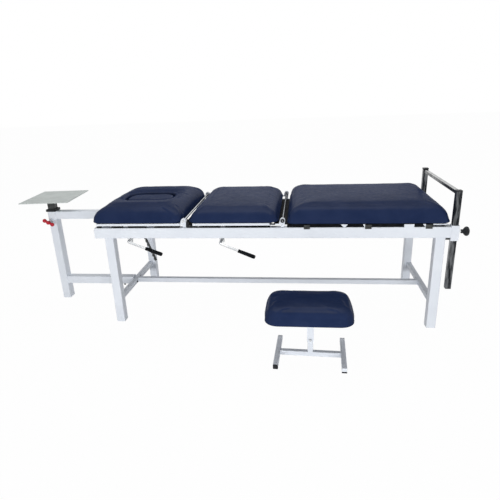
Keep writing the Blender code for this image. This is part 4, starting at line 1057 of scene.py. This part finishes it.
class TRACTION_OT_stool_frame(bpy.types.Operator):
    """Add the stool's base, feet, post and sleeve, turned as the stool stands"""
    bl_idname = "traction.stool_frame"
    bl_label = "Stool frame"

    def execute(self, context):
        left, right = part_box("stool_left_foot"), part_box("stool_right_foot")
        spread = (right[0] + right[1] - left[0] - left[1]) / 2
        self.turn = math.atan2(spread.y, spread.x)
        self.tube = left[1].z - left[0].z
        self.add_base()
        self.add_feet(left, right)
        dress(softened("stool_sleeve", "stool_seat_tube", SLEEVE_EDGE), "stool_sleeve")
        self.add_pin()
        return {"FINISHED"}

    def own_length(self, box, axis):
        """The length of a turned tube, from the box around it."""
        return (box[1][axis] - box[0][axis] - self.tube * abs(math.sin(self.turn))) / math.cos(self.turn)

    def add_base(self):
        """The bar between the feet and the post on it."""
        low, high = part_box("stool_base")
        centre = (low + high) / 2
        half, wide = self.own_length((low, high), X) / 2, self.tube / 2
        bar = square_bar("base_bar", (centre.x - half, centre.y - wide, 0),
                         (centre.x + half, centre.y + wide, self.tube), X, FOOT_CORNER)
        low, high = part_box("stool_sleeve")
        axis = (low + high) / 2
        post = square_bar("base_post", (axis.x - POST_HALF, axis.y - POST_HALF, self.tube - 0.001),
                          (axis.x + POST_HALF, axis.y + POST_HALF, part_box("stool_base")[1].z),
                          Z, FOOT_CORNER)
        swung(bar, centre, self.turn)
        swung(post, axis, self.turn)
        dress(joined("stool_base_frame", [bar, post]), "stool_base")

    def add_feet(self, left, right):
        """The two feet, the second a copy of the first, with their end plugs."""
        centre = (left[0] + left[1]) / 2
        shift = (right[0] + right[1]) / 2 - centre
        half, wide = self.own_length(left, Y) / 2, self.tube / 2
        foot = square_bar("stool_left_foot_tube", (centre.x - wide, centre.y - half, 0),
                          (centre.x + wide, centre.y + half, self.tube), Y, FOOT_CORNER)
        cap = block("foot_plug", (centre.x - wide, centre.y - half - PLUG_LENGTH, 0),
                    (centre.x + wide, centre.y - half - GAP, self.tube))
        choose(cap, "EDGE", lambda edge: runs_along(edge, Y))
        bevel_chosen(FOOT_CORNER, 4)
        smooth_by_angle(bevel_sharp(cap, PLUG_EDGE, 3))
        far = repeated(cap, "foot_plug", (0, 2 * half + PLUG_LENGTH + GAP, 0))
        pieces = [swung(piece, centre, self.turn) for piece in (foot, cap, far)]
        copies = [repeated(piece, piece.name, shift) for piece in pieces]
        copies[0].name = copies[0].data.name = "stool_right_foot_tube"
        dress(pieces[0], "stool_left_foot")
        dress(copies[0], "stool_right_foot")
        dress(joined("stool_left_foot_plugs", pieces[1:]), "stool_left_foot", replaces=False,
              slot="black_plastic")
        copies[1].name = copies[1].data.name = "stool_right_foot_light_plug"
        dress(copies[1], "stool_right_foot", replaces=False, slot="white_paint")
        length, bottom, top = FOOT_PAD
        end = half + PLUG_LENGTH + GAP
        pad = soft_block("foot_rubber",
                         Vector((centre.x - wide, centre.y - end - length, bottom)) + shift,
                         Vector((centre.x + wide, centre.y - end, top)) + shift)
        pad = swung(pad, centre + shift, self.turn)
        dress(joined("stool_right_foot_plugs", [copies[2], pad]), "stool_right_foot", replaces=False,
              slot="black_plastic")

    def add_pin(self):
        """The pin that holds the stool's seat at its height."""
        low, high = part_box("stool_sleeve")
        centre = (low + high) / 2
        middle = Vector((centre.x, centre.y, PIN_HEIGHT))
        before, after, radius = SEAT_PIN
        pin = cross_bar("pin", middle, low.y - before, high.y + after, radius)
        before, after, radius = SEAT_PIN_HEAD
        head = cross_bar("pin_head", middle, low.y - before, low.y - after, radius)
        bevel_sharp(head, BLOCK_EDGE, 3)
        pin = swung(joined("stool_seat_pin", [pin, head]), centre, self.turn)
        dress(smooth_by_angle(pin), "stool_sleeve", replaces=False, slot="bright_chrome")


# Cushions


PADS = (
    ("head_cushion", "head_pad", 0.0050, 1.0),
    ("face_plug", "face_insert_pad", 0.0015, 0.8),
    ("mid_cushion", "middle_pad", 0.0050, 1.0),
    ("leg_cushion", "leg_pad", 0.0050, 1.3),
    ("stool_cushion", "stool_pad", 0.0040, 0.83),
)
OVERSHOOT = 1.12
OPENING_RIM = 0.0018
RIM_WIDTH = 0.010
PLEAT_DEPTH = 0.0009
PLEAT_PITCH = 0.016
PLEAT_HEIGHT = 0.75
CORNER_RADIUS = 0.045
BOARD_GRIP = (0.003, 0.010)
OPENING_GRIP = (0.006, 0.016)
LOOSE_FROM_BOARD = 0.012
LOOSE_FROM_OPENING = 0.008
SWELLS = ((13.0, 0.0010), (37.0, 0.0004))
CLOTH_FRAMES = 20


class TRACTION_OT_cushions(bpy.types.Operator):
    """Add the upholstered cushions, inflated as cloth over their foam"""
    bl_idname = "traction.cushions"
    bl_label = "Cushions"

    def execute(self, context):
        for node, name, shrink, coarser in PADS:
            self.add_pad(node, name, shrink, context.scene.traction_sizes.pad_voxel * coarser)
        return {"FINISHED"}

    def add_pad(self, node, name, shrink, voxel):
        """A cushion that starts a little small and is inflated, with its underside held on its board."""
        low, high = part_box(node)
        opening = self.opening_outline() if node == "head_cushion" else None
        pad = copy_of(node, name)
        apply_modifier(pad, "REMESH", mode="VOXEL", voxel_size=voxel)
        apply_modifier(pad, "SMOOTH", factor=0.5, iterations=3)
        places = [vertex.co.copy() for vertex in pad.data.vertices]
        normals = [vertex.normal.copy() for vertex in pad.data.vertices]
        held = [self.hold(place, low, opening) for place in places]
        small = [place - normal * shrink * (1 - weight)
                 for place, normal, weight in zip(places, normals, held)]
        for vertex, place in zip(pad.data.vertices, small):
            vertex.co = place
        places = self.inflate(pad, small, held, shrink * OVERSHOOT)
        for vertex, place in zip(pad.data.vertices, places):
            vertex.co = place
        apply_modifier(pad, "SMOOTH", factor=0.4, iterations=2)
        apply_modifier(pad, "SUBSURF", levels=1, render_levels=1)
        self.add_relief(pad, low, high, opening)
        make_active(pad)
        bpy.ops.object.shade_smooth()
        dress(pad, node)

    def opening_outline(self):
        """The outline of the face insert, seen from above."""
        points = [vertex.co.xy for vertex in NODES["face_plug"].data.vertices]
        return [points[index] for index in geometry.convex_hull_2d(points)]

    def gap_to(self, outline, place):
        """How far a point lies outside the face insert's outline."""
        spot = place.xy
        gap = math.inf
        for first, second in zip(outline, outline[1:] + outline[:1]):
            share = geometry.intersect_point_line(spot, first, second)[1]
            gap = min(gap, (spot - first.lerp(second, ramp(share, 0, 1))).length)
        return gap

    def hold(self, place, low, opening):
        """How firmly a point is held: fully on the board and in the face opening."""
        board = 1 - ramp(place.z - low.z, *BOARD_GRIP)
        if opening is None:
            return board
        return max(board, 1 - ramp(self.gap_to(opening, place), *OPENING_GRIP))

    def add_relief(self, pad, low, high, opening):
        """Swells and dips of the foam, gathers at the corners and a soft rim around the face opening."""
        mesh = pad.data
        normals = [vertex.normal.copy() for vertex in mesh.vertices]
        for vertex, normal in zip(mesh.vertices, normals):
            place = vertex.co.copy()
            loose = ramp(place.z, low.z, LOOSE_FROM_BOARD)
            lift = sum(noise.noise(place * pitch) * depth for pitch, depth in SWELLS)
            if opening:
                gap = self.gap_to(opening, place)
                loose *= ramp(gap, 0, LOOSE_FROM_OPENING)
                lift += OPENING_RIM * math.exp(-((gap - RIM_WIDTH) / RIM_WIDTH) ** 2) * max(0, normal.z)
            lift -= self.gather(place, normal, low, high)
            place += normal * lift * loose
            vertex.co = (place.x, place.y, max(place.z, low.z))

    def gather(self, place, normal, low, high):
        """The depth of the small folds where the cover is gathered under a corner."""
        share = (place.z - low.z) / (high.z - low.z)
        side = (1 - abs(normal.z)) * max(0, 1 - share / PLEAT_HEIGHT)
        corner = 2 * abs(normal.x * normal.y) / max(0.0001, normal.x ** 2 + normal.y ** 2)
        run = math.atan2(normal.y, normal.x) * CORNER_RADIUS / PLEAT_PITCH
        return PLEAT_DEPTH * side * corner ** 2 * (0.5 + 0.5 * math.cos(2 * math.pi * run))

    def inflate(self, pad, start, held, reach):
        """The pad's points after a short cloth simulation under pressure, none moved past the reach."""
        group = pad.vertex_groups.new(name="held")
        for index, weight in enumerate(held):
            group.add([index], weight, "REPLACE")
        cloth = pad.modifiers.new("Cloth", "CLOTH")
        cloth.settings.quality = 4
        cloth.settings.mass = 0.3
        cloth.settings.use_pressure = True
        cloth.settings.uniform_pressure_force = 4.0
        cloth.settings.effector_weights.gravity = 0
        cloth.settings.vertex_group_mass = group.name
        cloth.point_cache.frame_start = 1
        cloth.point_cache.frame_end = CLOTH_FRAMES
        for step in range(1, CLOTH_FRAMES + 1):
            bpy.context.scene.frame_set(step)
        depsgraph = bpy.context.evaluated_depsgraph_get()
        solved = pad.evaluated_get(depsgraph).to_mesh()
        places = []
        for origin, vertex in zip(start, solved.vertices):
            moved = vertex.co - origin
            if moved.length > reach:
                moved *= reach / moved.length
            places.append(origin + moved)
        pad.evaluated_get(depsgraph).to_mesh_clear()
        pad.modifiers.remove(cloth)
        pad.vertex_groups.clear()
        bpy.context.scene.frame_set(1)
        return places


# Small trim


GAP_STRIPS = ((0.0975, 0.164), (0.194, 0.300), (0.345, 0.490), (0.600, 0.720), (0.745, 0.990))
STRIP_ACROSS = (-0.343, -0.327)
STRIP_TOP = 0.0085
# Painted shade: the black sheet under the gap between the head and middle cushions.
HEAD_GAP_SHADE_SHEET = (0.499, 0.562)
SHADE_SHEET_REACH = 0.325
SHADE_SHEET_SPAN = (0.0003, 0.0023)
REST_SHOE = ((0.988, 1.018), (-0.3466, -0.3452), (0.6045, 0.6128))
SHOE_EDGE = 0.0005
TAB = ((1.6887, 1.7393), (0.578, 0.6045))
TAB_THICKNESS = 0.0023
FOOT_END_BLOCK = ((1.9025, 1.926), (-0.337, -0.313), 0.012)
CROSSBAR_SCREWS = ((-0.0345, 0.1270), (0.0296, 0.1378))
ARM_DARK_SPOT = (-0.014, -0.0185)
SCREW_HEAD = 0.0062
SCREW_SUNK = 0.001
SCREW_PROUD = 0.0045
ARM_DARK_SPOT_PROUD = 0.009
SCREW_EDGE = 0.0007


class TRACTION_OT_trim(bpy.types.Operator):
    """Add the strips in the gap over the rails, a black sheet of painted shade, screws and the tab on the rail"""
    bl_idname = "traction.trim"
    bl_label = "Trim"

    def execute(self, context):
        self.add_gap_strips()
        self.add_rest_shoes()
        self.add_tab()
        self.add_foot_end_blocks()
        self.add_screws()
        return {"FINISHED"}

    def add_gap_strips(self):
        """Black strips on the rails under the lowered sections, partly painted shade, and a sheet of painted
        shade.
        """
        strips = []
        # Partly painted shade: black strips where the gap over the rails lies in shade under the cushions.
        for start, end in GAP_STRIPS:
            strip = soft_block("strip", on_table(start, STRIP_ACROSS[0], RAIL_HIGH.z + GAP),
                               on_table(end, STRIP_ACROSS[1], RAIL_HIGH.z + STRIP_TOP), BLOCK_EDGE)
            strips.append(strip)
            strips.append(repeated(strip, "strip", (0, -STRIP_ACROSS[0] - STRIP_ACROSS[1], 0)))
        dress(joined("rail_shade_strips", strips), "front_rail", replaces=False, slot="black_plastic",
              look="black_rubber")
        # Painted shade: a black sheet under the gap between the head and middle cushions.
        start, end = HEAD_GAP_SHADE_SHEET
        shade_sheet = soft_block("head_gap_shade_sheet", on_table(start, -SHADE_SHEET_REACH, RAIL_HIGH.z + SHADE_SHEET_SPAN[0]),
                            on_table(end, SHADE_SHEET_REACH, RAIL_HIGH.z + SHADE_SHEET_SPAN[1]))
        dress(shade_sheet, "front_rail", replaces=False, slot="black_plastic", look="black_rubber")

    def add_rest_shoes(self):
        """The black shoes on the sides of the middle section's frame, beside its hinge."""
        (start, end), (outer, inner), (bottom, top) = REST_SHOE
        shoe = soft_block("mid_rest_shoe_front", on_table(start, outer, bottom),
                          on_table(end, inner, top), SHOE_EDGE)
        dress_pair(shoe, "mid_rest_shoe_rear", ("mid_frame", "mid_frame"), (0, -outer - inner, 0),
                   replaces=False, slot="black_plastic", look="black_rubber")

    def add_tab(self):
        """The white tab that stands up in front of the gap."""
        (start, end), (bottom, top) = TAB
        outer = on_table(start, -HALF_WIDTH - TAB_THICKNESS - GAP, bottom)
        inner = on_table(end, -HALF_WIDTH - GAP, top)
        tab = soft_block("front_rail_tab", outer, inner, FITTING_EDGE)
        dress(tab, "front_rail", replaces=False)

    def add_foot_end_blocks(self):
        """The dark blocks under the rails' foot ends."""
        (start, end), across, height = FOOT_END_BLOCK
        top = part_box("front_left_leg")[1].z
        first = soft_block("foot_end_block_front", on_table(start, across[0], top - height),
                           on_table(end, across[1], top), BLOCK_EDGE)
        dress_pair(first, "foot_end_block_rear", ("front_rail", "front_rail"),
                   (0, -across[0] - across[1], 0), replaces=False, slot="black_steel")

    def add_screws(self):
        """The screws on the left crossbar, and a black head under the stand's lower arm that is partly painted
        shade.
        """
        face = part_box("left_crossbar")[1].x
        places = [Vector((face, CENTRE_LINE + across, height)) for across, height in CROSSBAR_SCREWS]
        first = self.screw(places[0], AXES[X], SCREW_PROUD)
        copies = [repeated(first, "screw", place - places[0]) for place in places[1:]]
        # Partly painted shade: a black head where the corner under the lower arm lies in shade.
        under = on_table(*ARM_DARK_SPOT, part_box("stand_lower_arm")[0].z)
        heads = [first, *copies, self.screw(under, -AXES[Z], ARM_DARK_SPOT_PROUD)]
        dress(joined("crossbar_screws", heads), "left_crossbar", replaces=False, slot="black_steel")

    def screw(self, place, out, proud):
        """A hexagonal screw head that stands out from a face."""
        head = round_bar("screw", place - out * SCREW_SUNK, place + out * proud, SCREW_HEAD, 6)
        return smooth_by_angle(bevel_sharp(head, SCREW_EDGE, 2))


# Stage


CAMERA_FROM_RAIL = Vector((1.1607, -2.2894, 0.7532))
CAMERA_TURN = (0.1232, 0.3418, -0.0396)
CAMERA_LENS = 32.017
CAMERA_SENSOR = 36.0
LAMPS = (
    ("front_softbox", (0.3, -4.2, 0.55), (0.2, 0.0, 0.60), (4.6, 0.45), 18.0, False),
    ("top_softbox", (0.1, 0.7, 3.4), (0.1, 0.2, 0.4), (3.4, 2.4), 1.7, True),
    ("back_softbox", (0.4, 3.8, 2.2), (0.2, 0.3, 0.6), (3.0, 1.6), 1.2, True),
)
SURROUNDING_LIGHT = 0.30
FLOOR_GLOW = 0.98


class TRACTION_OT_stage(bpy.types.Operator):
    """Add the camera, the soft lights, the pale floor and the white surroundings"""
    bl_idname = "traction.stage"
    bl_label = "Stage"

    def execute(self, context):
        self.add_camera(context.scene)
        self.add_lights()
        self.add_floor()
        self.add_world(context.scene)
        context.scene.view_settings.view_transform = "Standard"
        return {"FINISHED"}

    def add_camera(self, scene):
        """The camera that the photograph was solved for."""
        yaw, pitch, roll = CAMERA_TURN
        turn = Matrix.Rotation(yaw, 3, "Z")
        forward = turn @ Vector((0, math.cos(pitch), -math.sin(pitch)))
        level = turn @ Vector((1, 0, 0))
        upright = level.cross(forward)
        right = math.cos(roll) * level + math.sin(roll) * upright
        up = math.cos(roll) * upright - math.sin(roll) * level
        clear_selection()
        bpy.ops.object.camera_add()
        camera = bpy.context.object
        camera.name = "photo_camera"
        camera.data.sensor_width = CAMERA_SENSOR
        camera.data.lens = CAMERA_LENS
        camera.data.clip_start = 0.05
        placed = Matrix((right, up, -forward)).transposed().to_4x4()
        placed.translation = RAIL_LOW + CAMERA_FROM_RAIL
        camera.matrix_world = placed
        scene.camera = camera

    def add_lights(self):
        """A wide low soft light in front, not mirrored in the metal, and weaker ones over and behind."""
        for name, place, target, (width, height), radiance, mirrored in LAMPS:
            clear_selection()
            bpy.ops.object.light_add(type="AREA", location=place)
            light = bpy.context.object
            light.name = name
            light.data.shape = "RECTANGLE"
            light.data.size = width
            light.data.size_y = height
            light.data.energy = radiance * math.pi * width * height
            light.rotation_euler = (Vector(target) - Vector(place)).to_track_quat("-Z", "Y").to_euler()
            light.visible_camera = False
            light.visible_glossy = mirrored

    def seen_share(self, tree):
        """1 for rays that show the surroundings: camera, glossy and transmission rays."""
        path = add_node(tree, "ShaderNodeLightPath")
        either = add_node(tree, "ShaderNodeMath", {0: path.outputs["Is Camera Ray"],
                                                   1: path.outputs["Is Glossy Ray"]}, operation="MAXIMUM")
        return add_node(tree, "ShaderNodeMath", {0: either.outputs[0],
                                                 1: path.outputs["Is Transmission Ray"]},
                        operation="MAXIMUM").outputs[0]

    def add_floor(self):
        """A pale floor that shows white and keeps a faint shadow."""
        clear_selection()
        bpy.ops.mesh.primitive_plane_add(size=40, location=(0, 0, -0.0005))
        floor = settle(named("floor"))
        material = bpy.data.materials.new("pale_floor")
        material.use_nodes = True
        tree = material.node_tree
        shader = tree.nodes["Principled BSDF"]
        shader.inputs["Base Color"].default_value = (0.86, 0.86, 0.86, 1)
        shader.inputs["Roughness"].default_value = 0.9
        shader.inputs["Specular IOR Level"].default_value = 0.1
        glow = add_node(tree, "ShaderNodeEmission", {"Color": (1, 1, 1, 1), "Strength": 1.0})
        share = add_node(tree, "ShaderNodeMath", {0: self.seen_share(tree), 1: FLOOR_GLOW},
                         operation="MULTIPLY")
        mixed = add_node(tree, "ShaderNodeMixShader", {0: share.outputs[0], 1: shader.outputs[0],
                                                       2: glow.outputs[0]})
        tree.links.new(mixed.outputs[0], tree.nodes["Material Output"].inputs["Surface"])
        floor.data.materials.append(material)

    def add_world(self, scene):
        """White surroundings that light the object at a plain level."""
        world = bpy.data.worlds.new("white_surroundings")
        world.use_nodes = True
        tree = world.node_tree
        strength = add_node(tree, "ShaderNodeMapRange", {"Value": self.seen_share(tree),
                                                         "To Min": SURROUNDING_LIGHT, "To Max": 1.0})
        background = tree.nodes["Background"]
        background.inputs["Color"].default_value = (1, 1, 1, 1)
        tree.links.new(strength.outputs["Result"], background.inputs["Strength"])
        scene.world = world


class TRACTION_PT_panel(bpy.types.Panel):
    """Lists the table's pieces and settings in the sidebar"""
    bl_idname = "TRACTION_PT_panel"
    bl_label = "Traction table"
    bl_space_type = "VIEW_3D"
    bl_region_type = "UI"
    bl_category = "Traction table"

    def draw(self, context):
        for group in (context.scene.traction_sizes, context.scene.traction_colours):
            for name in group.__annotations__:
                self.layout.prop(group, name)
        for operator in OPERATORS:
            self.layout.operator(operator.bl_idname)


OPERATORS = (
    TRACTION_OT_stage,
    TRACTION_OT_frame_tubes,
    TRACTION_OT_welds,
    TRACTION_OT_machine_stand,
    TRACTION_OT_foot_bow,
    TRACTION_OT_hinges,
    TRACTION_OT_levers,
    TRACTION_OT_leg_carriage,
    TRACTION_OT_stool_frame,
    TRACTION_OT_cushions,
    TRACTION_OT_trim,
)
CLASSES = (TractionSizes, TractionColours, *OPERATORS, TRACTION_PT_panel)


def register():
    """Register the settings, operators and panel."""
    for one in CLASSES:
        bpy.utils.register_class(one)
    bpy.types.Scene.traction_sizes = bpy.props.PointerProperty(type=TractionSizes)
    bpy.types.Scene.traction_colours = bpy.props.PointerProperty(type=TractionColours)


def unregister():
    """Take the settings, operators and panel out again."""
    del bpy.types.Scene.traction_colours
    del bpy.types.Scene.traction_sizes
    for one in reversed(CLASSES):
        bpy.utils.unregister_class(one)


def call(operator):
    """Run an operator by its name, and stop if it doesn't finish."""
    group, name = operator.bl_idname.split(".")
    if getattr(getattr(bpy.ops, group), name)() != {"FINISHED"}:
        raise RuntimeError(operator.bl_idname + " did not finish")


def main():
    """Build every piece."""
    register()
    for operator in OPERATORS:
        call(operator)
    clear_selection()
    bpy.context.view_layer.update()


if __name__ == "__main__":
    main()
